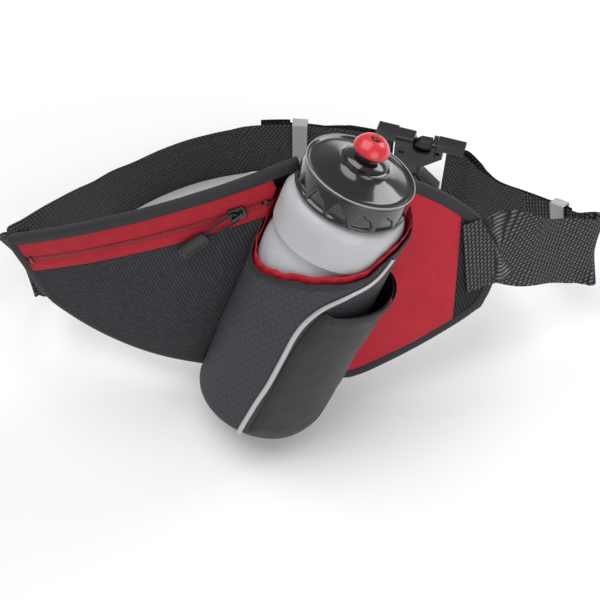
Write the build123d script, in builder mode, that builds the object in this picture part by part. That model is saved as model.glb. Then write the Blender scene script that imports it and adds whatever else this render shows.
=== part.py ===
"""Runner's waist pack with a leaning bottle holster, a zipped pocket and a buckled webbing belt.

The pack stands on the heel of its holster and on the lower edge of the belt, with its panel
leaning back. Origin: the middle of the flat under the holster's heel, on the ground.
+X runs to the right along the pack, +Y away from its front towards the wearer, +Z up.
"""
import os
from math import asin, cos, degrees, hypot, radians, sin, tan

from build123d import *

os.makedirs("parts", exist_ok=True)

# ---------------------------------------------------------------- driving dimensions (mm, degrees)
panel_lean = 14.4            # the panel leans back from upright
bottle_tilt = 19.3           # the bottle leans to the right within the panel
wing_tilt = 22.0             # the lines about which the wings bend lean to the left

bottle_radius = 36.75
bottle_height = 184.0        # up to the lip of the neck
bottle_wall = 1.3
heel_round = 8.0
waist_height = 137.0         # centre of the finger groove
waist_depth = 2.4
shoulder_height = 160.0
neck_radius = 27.0
neck_base = 169.0

cap_radius = 33.3
cap_lower = 169.5
cap_rim = 186.0
cap_wall = 1.7
cap_rim_radius = 32.0
collar_radius = 14.0
collar_height = 193.0
stem_radius = 7.8
stem_bore = 5.2
stem_top = 205.3
pin_radius = 1.9
mouthpiece_radius = 10.0
mouthpiece_height = 9.0

lining_thickness = 0.7
shell_thickness = 1.5
base_thickness = 1.2
bottle_gap = 0.85            # between the bottle and the lining
bottle_stand = 0.3           # between the bottle and the pad under it
layer_gap = 0.1
base_flat_depth = 1.0        # how much of the heel is pressed flat by the ground
shell_heel_round = 3.0
mouth_middle = 146.0         # height of the slanted mouth on the bottle's axis
mouth_rise = 32.0            # and how far it falls or rises from there at the wall
mouth_back_middle = 150.0    # the back of the mouth is cut to a flatter slant
mouth_back_rise = 14.0
mouth_low_side = -70.0       # bearing of its lowest point, 0 at the front, + to the right
hem_height = 5.0
hem_thickness = 1.0

panel_depth = 8.0            # the pack's front face lies this far behind the bottle's axis
left_radius = 480.0          # bend of the left wing
right_radius = 300.0         # bend of the right wing
fabric = 1.2
pocket_depth = 4.6           # front fabric and the hollow behind it
back_thickness = 3.6
pocket_wall = 1.6
holster_way = 3.7            # room round the holster for the swell of the back panel
hump_height = 150.0          # the back panel swells round the holster up to here
hump_thickness = 3.5
binding_width = 6.0
binding_thickness = 0.9

zip_line = 65.0              # up the wing, from the wing's own origin
upper_tape = 14.5
lower_tape = 8.5
tape_thickness = 0.5
zip_gap = 0.8
coil_width = 4.6
coil_thickness = 1.7
zip_start = 16.0
zip_end = -141.0
slider_place = 0.6
slider_length = 11.0
slider_width = 8.0
slider_thickness = 1.9
slider_gap = 0.35

cord_diameter = 1.5
bridge_width = 1.6
bridge_height = 4.2
bridge_hole = 2.1
pull_angle = 220.0           # the way the pull lies on the pack, from its own left-right line
tab_length = 21.0
tab_width = 8.5
tab_thickness = 3.2

seam_u = 127.5               # where the right belt is sewn to the wing
tab_strip = 7.0

webbing_width = 50.0
webbing_thickness = 1.8
belt_radius = 173.0          # the belt's curve behind the pack
belt_centre = (-14.8, 9.0)
belt_height = 25.3           # mid-height of the belt where its edge is nearest the ground
keeper_lift = 2.0            # the belt is lifted this far where the keeper goes round it
layer_pitch = 2.2            # from one layer of webbing to the next
keeper_length = 11.0
keeper_wall = 1.1
keeper_gap = 0.5

buckle_width = 62.0
buckle_thickness = 12.0
buckle_bearing = 18.0        # where the buckle touches the belt's circle
buckle_away = 48.6           # from there to the middle of the buckle
buckle_half = 32.0           # from the middle of the buckle to the end of each webbing bar
bar_width = 10.0
bar_thickness = 3.0
slot_width = 4.7
slot_height = 52.0
housing_length = 44.0
arm_width = 4.2
arm_thickness = 6.0
arm_gap = 0.6
knuckle_radius = 1.2
running_gap = 0.06

far = 400.0                  # longer than anything it cuts

# ---------------------------------------------------------------- directions and planes
lean = radians(panel_lean)
tilt = radians(bottle_tilt)
wing = radians(wing_tilt)
across = Vector(1, 0, 0)
up_slope = Vector(0, sin(lean), cos(lean))
outward = Vector(0, -cos(lean), sin(lean))
bottle_up = across * sin(tilt) + up_slope * cos(tilt)
bottle_right = across * cos(tilt) - up_slope * sin(tilt)
wing_right = across * cos(wing) + up_slope * sin(wing)
wing_up = up_slope * cos(wing) - across * sin(wing)

lining_radius = bottle_radius + bottle_gap
shell_inner = lining_radius + lining_thickness + layer_gap
holster_radius = shell_inner + shell_thickness
holster_floor = bottle_stand + base_thickness + layer_gap + shell_thickness

# The holster rests on its heel, and the middle of that flat is the origin.
heel_reach = holster_radius - shell_heel_round
heel_height = shell_heel_round - holster_floor
ground_run = hypot(bottle_up.X, bottle_up.Y)
foot = Vector(
    -bottle_up.X / ground_run * (heel_reach * bottle_up.Z + heel_height * ground_run),
    -bottle_up.Y / ground_run * (heel_reach * bottle_up.Z + heel_height * ground_run),
    heel_reach * ground_run - heel_height * bottle_up.Z + shell_heel_round - base_flat_depth,
)

pack_plane = Plane(origin=foot, x_dir=across, z_dir=outward)
bottle_plane = Plane(origin=foot, x_dir=bottle_right, z_dir=bottle_up)
bottle_section = Plane(origin=foot, x_dir=bottle_right, z_dir=outward)
bottle_axis = Axis(foot, bottle_up)

wing_place = (15.0, 80.0)    # where the bend line crosses the panel, in the pack's plane
wing_origin = pack_plane.from_local_coords(Vector(wing_place[0], wing_place[1], -panel_depth))
wing_plane = Plane(origin=wing_origin, x_dir=wing_right, z_dir=outward)
bend_plane = Plane(origin=wing_origin, x_dir=wing_right, z_dir=wing_up)
pack_thickness = pocket_depth + back_thickness


def export(part, name):
    """Label a finished piece and write it."""
    part.part.label = name
    export_step(part.part, f"parts/{name}.step")


def bend_point(s, depth):
    """A point of the bent panel in the bend plane: s along its flat width, depth behind its face."""
    radius = left_radius if s < 0 else right_radius
    turn = asin(s / radius)
    return ((radius - depth) * sin(turn), radius - (radius - depth) * cos(turn))


def on_panel(s, a, depth):
    """A point of the bent panel in space, a up the wing."""
    x, y = bend_point(s, depth)
    return wing_plane.from_local_coords(Vector(x, a, -y))


def bent_plate(front, back, mode=Mode.ADD):
    """The plate between two depths behind the pack's face, bent back over both wings."""
    left_end, left_mid, right_end, right_mid = -200.0, -100.0, 170.0, 85.0
    with BuildSketch(bend_plane) as profile:
        with BuildLine():
            ThreePointArc(bend_point(left_end, front), bend_point(left_mid, front), (0, front))
            ThreePointArc((0, front), bend_point(right_mid, front), bend_point(right_end, front))
            Line(bend_point(right_end, front), bend_point(right_end, back))
            ThreePointArc(bend_point(right_end, back), bend_point(right_mid, back), (0, back))
            ThreePointArc((0, back), bend_point(left_mid, back), bend_point(left_end, back))
            Line(bend_point(left_end, back), bend_point(left_end, front))
        make_face()
    extrude(profile.sketch, amount=far / 2, both=True, mode=mode)


# The outline of the pack, drawn flat: s to the right and a up the wing.
top_edge = 84.0
left_tip = -150.0
left_tip_foot = 33.0
with BuildSketch() as pack_shape:
    with BuildLine():
        Line((left_tip, top_edge), (30, top_edge))
        ThreePointArc((30, top_edge), (93, 43), (128, -18))
        ThreePointArc((128, -18), (126, -52), (108, -77.5))
        Line((108, -77.5), (14, -88))
        Line((14, -88), (-80, -40))
        ThreePointArc((-80, -40), (-125, -7), (left_tip, left_tip_foot))
        Line((left_tip, left_tip_foot), (left_tip, top_edge))
    make_face()


def keep_inside(inset):
    """Keep what lies inside the pack's outline, drawn in by the inset."""
    with BuildSketch(wing_plane) as kept:
        add(offset(pack_shape.sketch, amount=-inset, mode=Mode.PRIVATE) if inset else pack_shape.sketch)
    extrude(kept.sketch, amount=far / 2, both=True, mode=Mode.INTERSECT)


def cut_holster_way(radius):
    """Leave room for the holster."""
    with BuildSketch(bottle_plane) as way:
        Circle(radius)
    extrude(way.sketch, amount=far, both=True, mode=Mode.SUBTRACT)


def keep_side(side):
    """Keep what lies to the left (-1) or to the right (1) of the bottle's axis."""
    with BuildSketch(bottle_section) as kept:
        with Locations((side * far / 2, 0)):
            Rectangle(far, far * 2)
    extrude(kept.sketch, amount=far, both=True, mode=Mode.INTERSECT)


def keep_strip(low, high, left=-far, right=far):
    """Keep a strip across the wing, between two heights and two places along it."""
    with BuildSketch(wing_plane) as kept:
        with Locations(((left + right) / 2, (low + high) / 2)):
            Rectangle(right - left, high - low)
    extrude(kept.sketch, amount=far / 2, both=True, mode=Mode.INTERSECT)


def mouth_plane(drop, middle=mouth_middle, rise=mouth_rise):
    """A slanted plane of the holster's mouth, lowered by the drop."""
    bearing = radians(mouth_low_side)
    fall = bottle_right * sin(bearing) + outward * cos(bearing)
    normal = bottle_up + fall * (rise / holster_radius)
    return Plane(origin=foot + bottle_up * (middle - drop), z_dir=normal)


def cut_mouth(drop):
    """Keep what lies below the mouth, whose front slants more steeply than its back."""
    split(bisect_by=mouth_plane(drop), keep=Keep.BOTTOM)
    split(bisect_by=mouth_plane(drop, mouth_back_middle, mouth_back_rise), keep=Keep.BOTTOM)


def tube(inner, outer, low, high):
    """A tube round the bottle's axis."""
    with BuildSketch(bottle_plane.offset(low)) as ring:
        Circle(outer)
        Circle(inner, mode=Mode.SUBTRACT)
    extrude(ring.sketch, amount=high - low)


def keep_bearings(start, end):
    """Keep a wedge of a ring, between two bearings round the bottle, 0 at the front."""
    middle = radians((start + end) / 2)
    half = radians((end - start) / 2)
    reach = far / 2
    corners = [(0, 0)]
    for turn in (middle - half, middle, middle + half):
        stretch = reach / cos(half) if turn == middle else reach
        corners.append((stretch * sin(turn), -stretch * cos(turn)))
    with BuildSketch(bottle_plane) as wedge:
        with BuildLine():
            Polyline(*corners, close=True)
        make_face()
    extrude(wedge.sketch, amount=far, both=True, mode=Mode.INTERSECT)


# ---------------------------------------------------------------- panel, pocket and wings
with BuildPart() as back_panel:
    bent_plate(pocket_depth, pack_thickness)
    keep_inside(0)
    cut_holster_way(holster_radius + layer_gap)
    # The panel swells backwards in a half tube where the holster pushes into it.
    with BuildSketch(bottle_plane):
        Circle(holster_radius + layer_gap + hump_thickness)
        Circle(holster_radius + layer_gap, mode=Mode.SUBTRACT)
        with Locations((0, panel_depth + pocket_depth + 0.5 - far / 2)):
            Rectangle(far, far, mode=Mode.SUBTRACT)
    extrude(amount=hump_height)
export(back_panel, "back_panel")

with BuildPart() as pocket_hollow:
    bent_plate(fabric, pocket_depth)
    keep_inside(pocket_wall)

with BuildPart() as pocket_front:
    bent_plate(0, pocket_depth)
    keep_inside(0)
    cut_holster_way(holster_radius + holster_way)
    keep_side(-1)
    keep_strip(-far, zip_line - lower_tape)
    add(pocket_hollow.part, mode=Mode.SUBTRACT)
export(pocket_front, "pocket_front")

for name, low, high in (
    ("zip_tape_upper", zip_line + zip_gap / 2, zip_line + upper_tape + 4.5),
    ("zip_tape_lower", zip_line - lower_tape, zip_line - zip_gap / 2),
):
    with BuildPart() as zip_tape:
        bent_plate(0, tape_thickness)
        keep_inside(0)
        cut_holster_way(holster_radius + layer_gap)
        keep_side(-1)
        keep_strip(low, high)
    export(zip_tape, name)

with BuildPart() as zip_coil:
    bent_plate(tape_thickness, tape_thickness + coil_thickness)
    keep_strip(zip_line - coil_width / 2, zip_line + coil_width / 2, zip_end, zip_start)
export(zip_coil, "zip_coil")

with BuildPart() as zip_stops:
    bent_plate(-0.9, 0)
    with BuildSketch(wing_plane):
        with Locations((zip_end, zip_line), (zip_start + 3, zip_line)):
            Rectangle(2.2, coil_width)
    extrude(amount=far / 2, both=True, mode=Mode.INTERSECT)
export(zip_stops, "zip_stops")

with BuildPart() as pack_core:
    bent_plate(0, pack_thickness)
    keep_inside(0)

with BuildPart() as edge_binding:
    bent_plate(-binding_thickness, pack_thickness + binding_thickness)
    with BuildSketch(wing_plane):
        add(offset(pack_shape.sketch, amount=binding_thickness, mode=Mode.PRIVATE))
        add(offset(pack_shape.sketch, amount=-binding_width, mode=Mode.PRIVATE), mode=Mode.SUBTRACT)
    extrude(amount=far / 2, both=True, mode=Mode.INTERSECT)
    add(pack_core.part, mode=Mode.SUBTRACT)
    cut_holster_way(holster_radius + holster_way)
export(edge_binding, "edge_binding")


def right_wing_layer(front, back, side):
    """A layer of the right wing, left (-1) or right (1) of the line where the belt is sewn on."""
    bent_plate(front, back)
    keep_inside(0)
    cut_holster_way(holster_radius + holster_way)
    keep_side(1)
    if side:
        with BuildSketch(pack_plane) as kept:
            with Locations((seam_u - tab_strip + side * far / 2, 0)):
                Rectangle(far, far * 2)
        extrude(kept.sketch, amount=far / 2, both=True, mode=Mode.INTERSECT)


with BuildPart() as red_side_panel:
    right_wing_layer(0, fabric, -1)
export(red_side_panel, "red_side_panel")

with BuildPart() as side_tab:
    right_wing_layer(0, fabric, 1)
export(side_tab, "side_tab")

with BuildPart() as wing_padding:
    right_wing_layer(fabric, pocket_depth, 0)
export(wing_padding, "wing_padding")

# ---------------------------------------------------------------- holster
def revolve_profile(*corners, rounds=()):
    """Turn a closed profile of (radius, height) corners about the bottle's axis."""
    with BuildSketch(bottle_section) as profile:
        with BuildLine():
            Polyline(*corners, close=True)
        make_face()
        for place, radius in rounds:
            fillet(profile.vertices().sort_by_distance(place)[0], radius)
    revolve(profile.sketch, axis=bottle_axis)


shell_floor = shell_thickness - holster_floor
with BuildPart() as holster_shell:
    revolve_profile(
        (0, -holster_floor),
        (holster_radius, -holster_floor),
        (holster_radius, far / 2),
        (shell_inner, far / 2),
        (shell_inner, shell_floor),
        (0, shell_floor),
        rounds=(
            ((holster_radius, -holster_floor), shell_heel_round),
            ((shell_inner, shell_floor), shell_heel_round - shell_thickness),
        ),
    )
    cut_mouth(0)
    split(bisect_by=Plane.XY, keep=Keep.TOP)
export(holster_shell, "holster_shell")

base_top = shell_floor + layer_gap + base_thickness
with BuildPart() as holster_base:
    base_radius = shell_inner - (shell_heel_round - shell_thickness)
    revolve_profile((0, shell_floor + layer_gap), (base_radius, shell_floor + layer_gap),
                    (base_radius, base_top), (0, base_top))
export(holster_base, "holster_base")

lining_outer = lining_radius + lining_thickness
lining_stand = 3.0           # the lining shows above the shell all round the mouth
with BuildPart() as holster_lining:
    revolve_profile((lining_radius, base_top), (lining_outer, base_top),
                    (lining_outer, far / 2), (lining_radius, far / 2))
    cut_mouth(-lining_stand)
export(holster_lining, "holster_lining")


def slanted_band(radius, thickness, top_drop, bottom_drop, start, end):
    """A band that runs round the holster below its slanted mouth."""
    tube(radius, radius + thickness, 0, far / 2)
    split(bisect_by=mouth_plane(top_drop), keep=Keep.BOTTOM)
    split(bisect_by=mouth_plane(bottom_drop), keep=Keep.TOP)
    keep_bearings(start, end)


outer_face = holster_radius + layer_gap
with BuildPart() as mouth_hem:
    slanted_band(outer_face, hem_thickness, 0.5, 0.5 + hem_height, -88, 30)
export(mouth_hem, "mouth_hem")

piping_width = 3.2
piping_drop = 20.0
piping_bearing = -1.5
piping_thickness = 1.3
with BuildPart() as piping_arc:
    slanted_band(outer_face, piping_thickness, piping_drop, piping_drop + piping_width, -2, 52)
with BuildPart() as reflective_piping:
    piping_turn = degrees(piping_width / 2 / holster_radius)
    slanted_band(outer_face, piping_thickness, piping_drop, far, piping_bearing - piping_turn,
                 piping_bearing + piping_turn)
    add(piping_arc.part)
export(reflective_piping, "reflective_piping")

side_stand = 5.2             # the stretch pocket stands this far off the holster
side_top = 106.0
side_start, side_end = 2.5, 96.0
side_foot = 5.0
with BuildPart() as side_hollow:
    tube(holster_radius, holster_radius + side_stand - fabric, side_foot + fabric, far / 2)
    keep_bearings(side_start + 2, side_end - 2)
with BuildPart() as side_pocket:
    tube(outer_face, holster_radius + side_stand, side_foot, side_top)
    keep_bearings(side_start, side_end)
    add(side_hollow.part, mode=Mode.SUBTRACT)
export(side_pocket, "side_pocket")

with BuildPart() as side_pocket_elastic:
    elastic_inner = holster_radius + side_stand - fabric
    tube(elastic_inner, holster_radius + side_stand + 0.6, side_top, side_top + hem_height)
    keep_bearings(side_start + 2, side_end - 2)
export(side_pocket_elastic, "side_pocket_elastic")

# ---------------------------------------------------------------- bottle and its cap
groove_bottom = bottle_radius - waist_depth
groove_half = 6.0
with BuildPart() as bottle_body:
    with BuildSketch(bottle_section) as bottle_profile:
        with BuildLine():
            rise = bottle_radius - heel_round
            Line((0, 0), (rise, 0))
            RadiusArc((rise, 0), (bottle_radius, heel_round), -heel_round)
            Line((bottle_radius, heel_round), (bottle_radius, waist_height - groove_half))
            ThreePointArc((bottle_radius, waist_height - groove_half), (groove_bottom, waist_height),
                          (bottle_radius, waist_height + groove_half))
            Line((bottle_radius, waist_height + groove_half), (bottle_radius, shoulder_height))
            Line((bottle_radius, shoulder_height), (neck_radius, neck_base))
            Line((neck_radius, neck_base), (neck_radius, bottle_height))
            Line((neck_radius, bottle_height), (0, bottle_height))
            Line((0, bottle_height), (0, 0))
        make_face()
    revolve(axis=bottle_axis)
    lip = faces().filter_by(GeomType.PLANE).sort_by(bottle_axis)[-1]
    offset(amount=-bottle_wall, openings=lip)
export(bottle_body, "bottle_body")

seal_thickness = 1.5
seal_top = bottle_height + seal_thickness
with BuildPart() as cap_seal:
    revolve_profile((neck_radius - 6, bottle_height), (neck_radius - 0.4, bottle_height),
                    (neck_radius - 0.4, seal_top), (neck_radius - 6, seal_top))
export(cap_seal, "cap_seal")

cap_bore = neck_radius + running_gap
with BuildPart() as bottle_cap:
    revolve_profile(
        (cap_bore, cap_lower),
        (cap_radius, cap_lower),
        (cap_rim_radius, cap_rim),
        (cap_rim_radius - 2.2, cap_rim),
        (collar_radius, collar_height - cap_wall),
        (collar_radius, collar_height),
        (stem_radius + running_gap, collar_height),
        (stem_radius + running_gap, collar_height - 2 * cap_wall),
        (neck_radius - 4, seal_top),
        (cap_bore, seal_top),
    )
export(bottle_cap, "bottle_cap")

vent_circle = (stem_bore + pin_radius) / 2
with BuildPart() as nozzle_stem:
    revolve_profile(
        (0, collar_height - 1.2),
        (stem_radius, collar_height - 1.2),
        (stem_radius, collar_height + layer_gap),
        (collar_radius - 1, collar_height + layer_gap),
        (collar_radius - 1.6, collar_height + 2.4),
        (stem_radius + 1.6, collar_height + 3.0),
        (stem_radius, collar_height + 4.4),
        (stem_radius, stem_top),
        (stem_bore, stem_top),
        (stem_bore, collar_height + 1),
        (pin_radius, collar_height + 1),
        (pin_radius, stem_top + 3.2),
        (0, stem_top + 3.2),
    )
    with BuildSketch(bottle_plane.offset(collar_height - 3)):
        with PolarLocations(vent_circle, 4):
            Circle(1.2)
    extrude(amount=5, mode=Mode.SUBTRACT)
export(nozzle_stem, "nozzle_stem")

mouth_low = collar_height + 7.6
mouth_high = mouth_low + mouthpiece_height
with BuildPart() as mouthpiece:
    with BuildSketch(bottle_section) as mouthpiece_profile:
        with BuildLine():
            inner = stem_radius + running_gap
            Polyline((inner, mouth_low), (mouthpiece_radius - 1.2, mouth_low),
                     (mouthpiece_radius, mouth_low + 2), (mouthpiece_radius, mouth_low + 4))
            ThreePointArc((mouthpiece_radius, mouth_low + 4), (mouthpiece_radius - 2.6, mouth_high - 1.4),
                          (pin_radius + 2.2, mouth_high))
            Polyline((pin_radius + 2.2, mouth_high), (pin_radius + 0.1, mouth_high - 1.4),
                     (pin_radius + 0.1, stem_top + 0.3), (inner, stem_top + 0.3), (inner, mouth_low))
        make_face()
    revolve(axis=bottle_axis)
export(mouthpiece, "mouthpiece")

# ---------------------------------------------------------------- zip slider and its cord pull
pull = radians(pull_angle)
face_point = on_panel(slider_place, zip_line, 0)
slider_turn = asin(slider_place / right_radius)
slider_right = wing_right * cos(slider_turn) - outward * sin(slider_turn)
slider_out = outward * cos(slider_turn) + wing_right * sin(slider_turn)
slider_plane = Plane(origin=face_point, x_dir=slider_right, z_dir=slider_out)
pull_flat = across * cos(pull) + up_slope * sin(pull)
pull_way = (pull_flat - slider_out * pull_flat.dot(slider_out)).normalized()
slider_top = slider_gap + slider_thickness
pull_origin = face_point + slider_out * (slider_top + bridge_hole / 2 + 0.3)
pull_plane = Plane(origin=pull_origin, x_dir=pull_way, z_dir=slider_out)
bridge_plane = Plane(origin=pull_origin, x_dir=pull_way, z_dir=-pull_plane.y_dir)

with BuildPart() as zip_slider:
    with BuildSketch(slider_plane.offset(slider_gap)):
        RectangleRounded(slider_length, slider_width, 2.2)
    extrude(amount=slider_thickness)
    chamfer(faces().sort_by(Axis(face_point, slider_out))[-1].edges(), 0.5)
    with BuildSketch(bridge_plane):
        with Locations((0, bridge_height / 2 - bridge_hole / 2 - 1.1)):
            RectangleRounded(2 * bridge_height, bridge_height, 1.4)
        Circle(bridge_hole / 2, mode=Mode.SUBTRACT)
    extrude(amount=bridge_width / 2, both=True)
export(zip_slider, "zip_slider")

tab_start = 24.0
tab_drop = 0.95
strand_gap = 1.5
loop_half = 2.6
half_loop = [(tab_start, strand_gap, -tab_drop), (16.5, 2.6, -0.9), (8.0, 2.95, -0.6), (0.0, loop_half, 0.0)]
loop_points = [Vector(*p) for p in half_loop] + [Vector(p[0], -p[1], p[2]) for p in reversed(half_loop)]


def cord_path(points):
    """Straight runs joined by arcs, each arc as wide as the shorter run beside it allows."""
    radii = []
    for before, here, after in zip(points, points[1:], points[2:]):
        run = min((here - before).length, (after - here).length)
        half_turn = radians((here - before).get_angle(after - here)) / 2
        radii.append(0.45 * run / tan(half_turn))
    print("cord radii", [round(radius, 1) for radius in radii])
    edges = []
    last = points[0]
    for before, here, after, radius in zip(points, points[1:], points[2:], radii):
        towards, onwards = (here - before).normalized(), (after - here).normalized()
        half_turn = radians(towards.get_angle(onwards)) / 2
        start, end = here - towards * radius * tan(half_turn), here + onwards * radius * tan(half_turn)
        inward = (onwards - towards).normalized()
        middle = here + inward * radius * (1 / cos(half_turn) - 1)
        edges.append(Edge.make_line(last, start))
        edges.append(Edge.make_three_point_arc(start, middle, end))
        last = end
    edges.append(Edge.make_line(last, points[-1]))
    return Wire(edges)


with BuildPart() as zip_pull_cord:
    loop = cord_path([pull_plane.from_local_coords(point) for point in loop_points])
    with BuildSketch(Plane(origin=loop @ 0, z_dir=loop % 0)) as cord_section:
        Circle(cord_diameter / 2)
    sweep(cord_section.sketch, path=loop)
export(zip_pull_cord, "zip_pull_cord")

with BuildPart() as zip_pull_tab:
    with BuildSketch(pull_plane.offset(-tab_drop - tab_thickness / 2)):
        with Locations((tab_start + tab_length / 2, 0)):
            RectangleRounded(tab_length, tab_width, 3.0)
    extrude(amount=tab_thickness)
    fillet(faces().filter_by(Plane(origin=pull_origin, z_dir=slider_out)).edges(), 1.0)
export(zip_pull_tab, "zip_pull_tab")

# ---------------------------------------------------------------- buckle
buckle_turn = radians(buckle_bearing)
buckle_dir = Vector(cos(buckle_turn), -sin(buckle_turn), 0)
buckle_out = Vector(sin(buckle_turn), cos(buckle_turn), 0)
belt_middle = Vector(belt_centre[0], belt_centre[1], 0)
layer_offset = bar_thickness / 2 + 0.3 + webbing_thickness / 2
buckle_level = buckle_width / 2
buckle_origin = (
    belt_middle + buckle_out * (belt_radius + layer_offset) + buckle_dir * buckle_away + Vector(0, 0, buckle_level)
)
buckle_plane = Plane(origin=buckle_origin, x_dir=buckle_dir, z_dir=-buckle_out)


def buckle_block(left, right, low, high, half_depth, mode=Mode.ADD):
    """A block of the buckle between two places along it and two heights, on both sides of its middle."""
    with BuildSketch(buckle_plane) as block:
        with Locations(((left + right) / 2, (low + high) / 2)):
            Rectangle(right - left, high - low)
    extrude(block.sketch, amount=half_depth, both=True, mode=mode)


half_width = buckle_width / 2
slot_half = slot_height / 2
slot_outer = buckle_half - bar_width
slot_inner = slot_outer - slot_width
housing_right = housing_length - buckle_half
cavity_half = 25.8
cavity_left = -13.0
ring_left = housing_right - 3.0
window_left = -4.5
window_depth = 20.0
cavity_depth = arm_thickness / 2 + arm_gap
rail_depth = 5.8
throat_left = 1.0            # the V of the socket's mouth, and the plug's cross-piece that lies in it
throat_half = 6.0
throat_mouth = 19.0
throat_wall = 2.6

with BuildPart() as buckle_female:
    buckle_block(-slot_inner, housing_right, -half_width, half_width, buckle_thickness / 2)
    rims = edges().filter_by(Axis(buckle_origin, buckle_dir))
    fillet(rims, 2.5)
    buckle_block(-buckle_half, -slot_inner, -half_width, half_width, rail_depth)
    buckle_block(-far, -slot_inner, -slot_half, slot_half, far, Mode.SUBTRACT)
    buckle_block(-buckle_half, -slot_outer, -half_width + 1, half_width - 1, bar_thickness / 2)
    buckle_block(cavity_left, far, -cavity_half, cavity_half, cavity_depth, Mode.SUBTRACT)
    with BuildSketch(buckle_plane):
        window_middle = (window_left + ring_left) / 2
        with Locations((window_middle, half_width), (window_middle, -half_width)):
            RectangleRounded(ring_left - window_left, 2 * (half_width - window_depth), 6.0)
        throat = [(throat_left, throat_half), (housing_right + 0.1, throat_mouth), (far, throat_mouth)]
        Polygon(*throat, *[(x, -y) for x, y in reversed(throat)], align=None)
    extrude(amount=buckle_thickness, both=True, mode=Mode.SUBTRACT)
    with BuildSketch(buckle_plane.offset(buckle_thickness / 2)):
        with Locations((-6, -2)):
            SlotOverall(15, 6)
        with Locations((-12, 19)):
            Rectangle(4, 6)
    extrude(amount=-1.2, mode=Mode.SUBTRACT)
export(buckle_female, "buckle_female")

frame_left = housing_right + 0.3
frame_depth = 5.2
arm_middle = 23.0
knuckle_place = frame_left + 1.7
neck_half = 0.7
with BuildPart() as buckle_male:
    buckle_block(frame_left, buckle_half, -half_width, half_width, frame_depth)
    with BuildSketch(buckle_plane):
        brace = [(throat_left + 0.3, throat_half - 0.3), (housing_right + 0.4, throat_mouth - 0.3),
                 (slot_inner, throat_mouth - 0.3)]
        Polygon(*brace, *[(x, -y) for x, y in reversed(brace)], align=None)
    extrude(amount=frame_depth, both=True)
    buckle_block(slot_inner, far, -slot_half, slot_half, far, Mode.SUBTRACT)
    with BuildSketch(buckle_plane):
        inner_brace = [(throat_left + throat_wall, throat_half - 0.9), (slot_inner - 0.5, throat_mouth - 1.2),
                       (slot_inner + 1, throat_mouth - 1.2)]
        Polygon(*inner_brace, *[(x, -y) for x, y in reversed(inner_brace)], align=None)
    extrude(amount=far, both=True, mode=Mode.SUBTRACT)
    buckle_block(slot_outer, buckle_half, -half_width + 1, half_width - 1, bar_thickness / 2)
    buckle_block(-8, throat_left + 1, -5.5, 5.5, 2.5)
    with BuildSketch(buckle_plane):
        with Locations((knuckle_place, arm_middle), (knuckle_place, -arm_middle)):
            Circle(knuckle_radius + running_gap)
        with Locations((knuckle_place - 5, arm_middle), (knuckle_place - 5, -arm_middle)):
            Rectangle(10, 2 * neck_half + 0.7)
    extrude(amount=far, both=True, mode=Mode.SUBTRACT)
export(buckle_male, "buckle_male")

latch_face = ring_left - 0.3
for name, side in (("prong_upper", 1), ("prong_lower", -1)):
    with BuildPart() as prong:
        with BuildSketch(buckle_plane):
            with Locations((knuckle_place, side * arm_middle)):
                Circle(knuckle_radius)
            corners = [
                (knuckle_place, arm_middle + neck_half),
                (frame_left - 0.8, arm_middle + neck_half),
                (frame_left - 1.6, arm_middle + arm_width / 2),
                (latch_face, arm_middle + arm_width / 2),
                (latch_face - 0.4, half_width - 0.9),
                (window_left + 4.5, half_width - 1.6),
                (window_left + 0.5, arm_middle + arm_width / 2),
                (cavity_left + 2.5, arm_middle + arm_width / 2 - 1.6),
                (cavity_left + 1.2, arm_middle),
                (cavity_left + 2.5, arm_middle - arm_width / 2),
                (frame_left - 1.6, arm_middle - arm_width / 2),
                (frame_left - 0.8, arm_middle - neck_half),
                (knuckle_place, arm_middle - neck_half),
            ]
            Polygon(*[(x, side * y) for x, y in corners], align=None)
        extrude(amount=arm_thickness / 2, both=True)
    export(prong, name)

# ---------------------------------------------------------------- webbing belt
half_webbing = webbing_thickness / 2
strap_depth = pack_thickness + binding_thickness + 0.5 + half_webbing


def belt_point(bearing, height, extra=0.0):
    """A point of the belt's curve behind the pack, at a bearing from straight back."""
    turn = radians(bearing)
    reach = belt_radius + extra
    return Vector(belt_centre[0] + reach * sin(turn), belt_centre[1] + reach * cos(turn), height)


def leaning(angle):
    """A width direction that leans back from upright."""
    return Vector(0, sin(radians(angle)), cos(radians(angle)))


def in_buckle(x, z):
    """A point on the middle line of the buckle."""
    return buckle_plane.from_local_coords(Vector(x, 0, z))


def ribbon(course, thickness=webbing_thickness, start_way=None, end_way=None):
    """Webbing through (point, width direction) pairs, with the directions of its ends if they matter."""
    points = [point for point, _ in course]
    sections = []
    for place, (point, widthways) in enumerate(course):
        ahead = points[min(place + 1, len(points) - 1)]
        behind = points[max(place - 1, 0)]
        along = (ahead - behind).normalized()
        if place == 0 and start_way:
            along = start_way
        if place == len(points) - 1 and end_way:
            along = end_way
        width_way = (widthways - along * widthways.dot(along)).normalized()
        with BuildSketch(Plane(origin=point, x_dir=width_way, z_dir=along)) as section:
            Rectangle(webbing_width, thickness)
        sections.append(section.sketch)
    loft(sections=sections, ruled=True)


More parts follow.
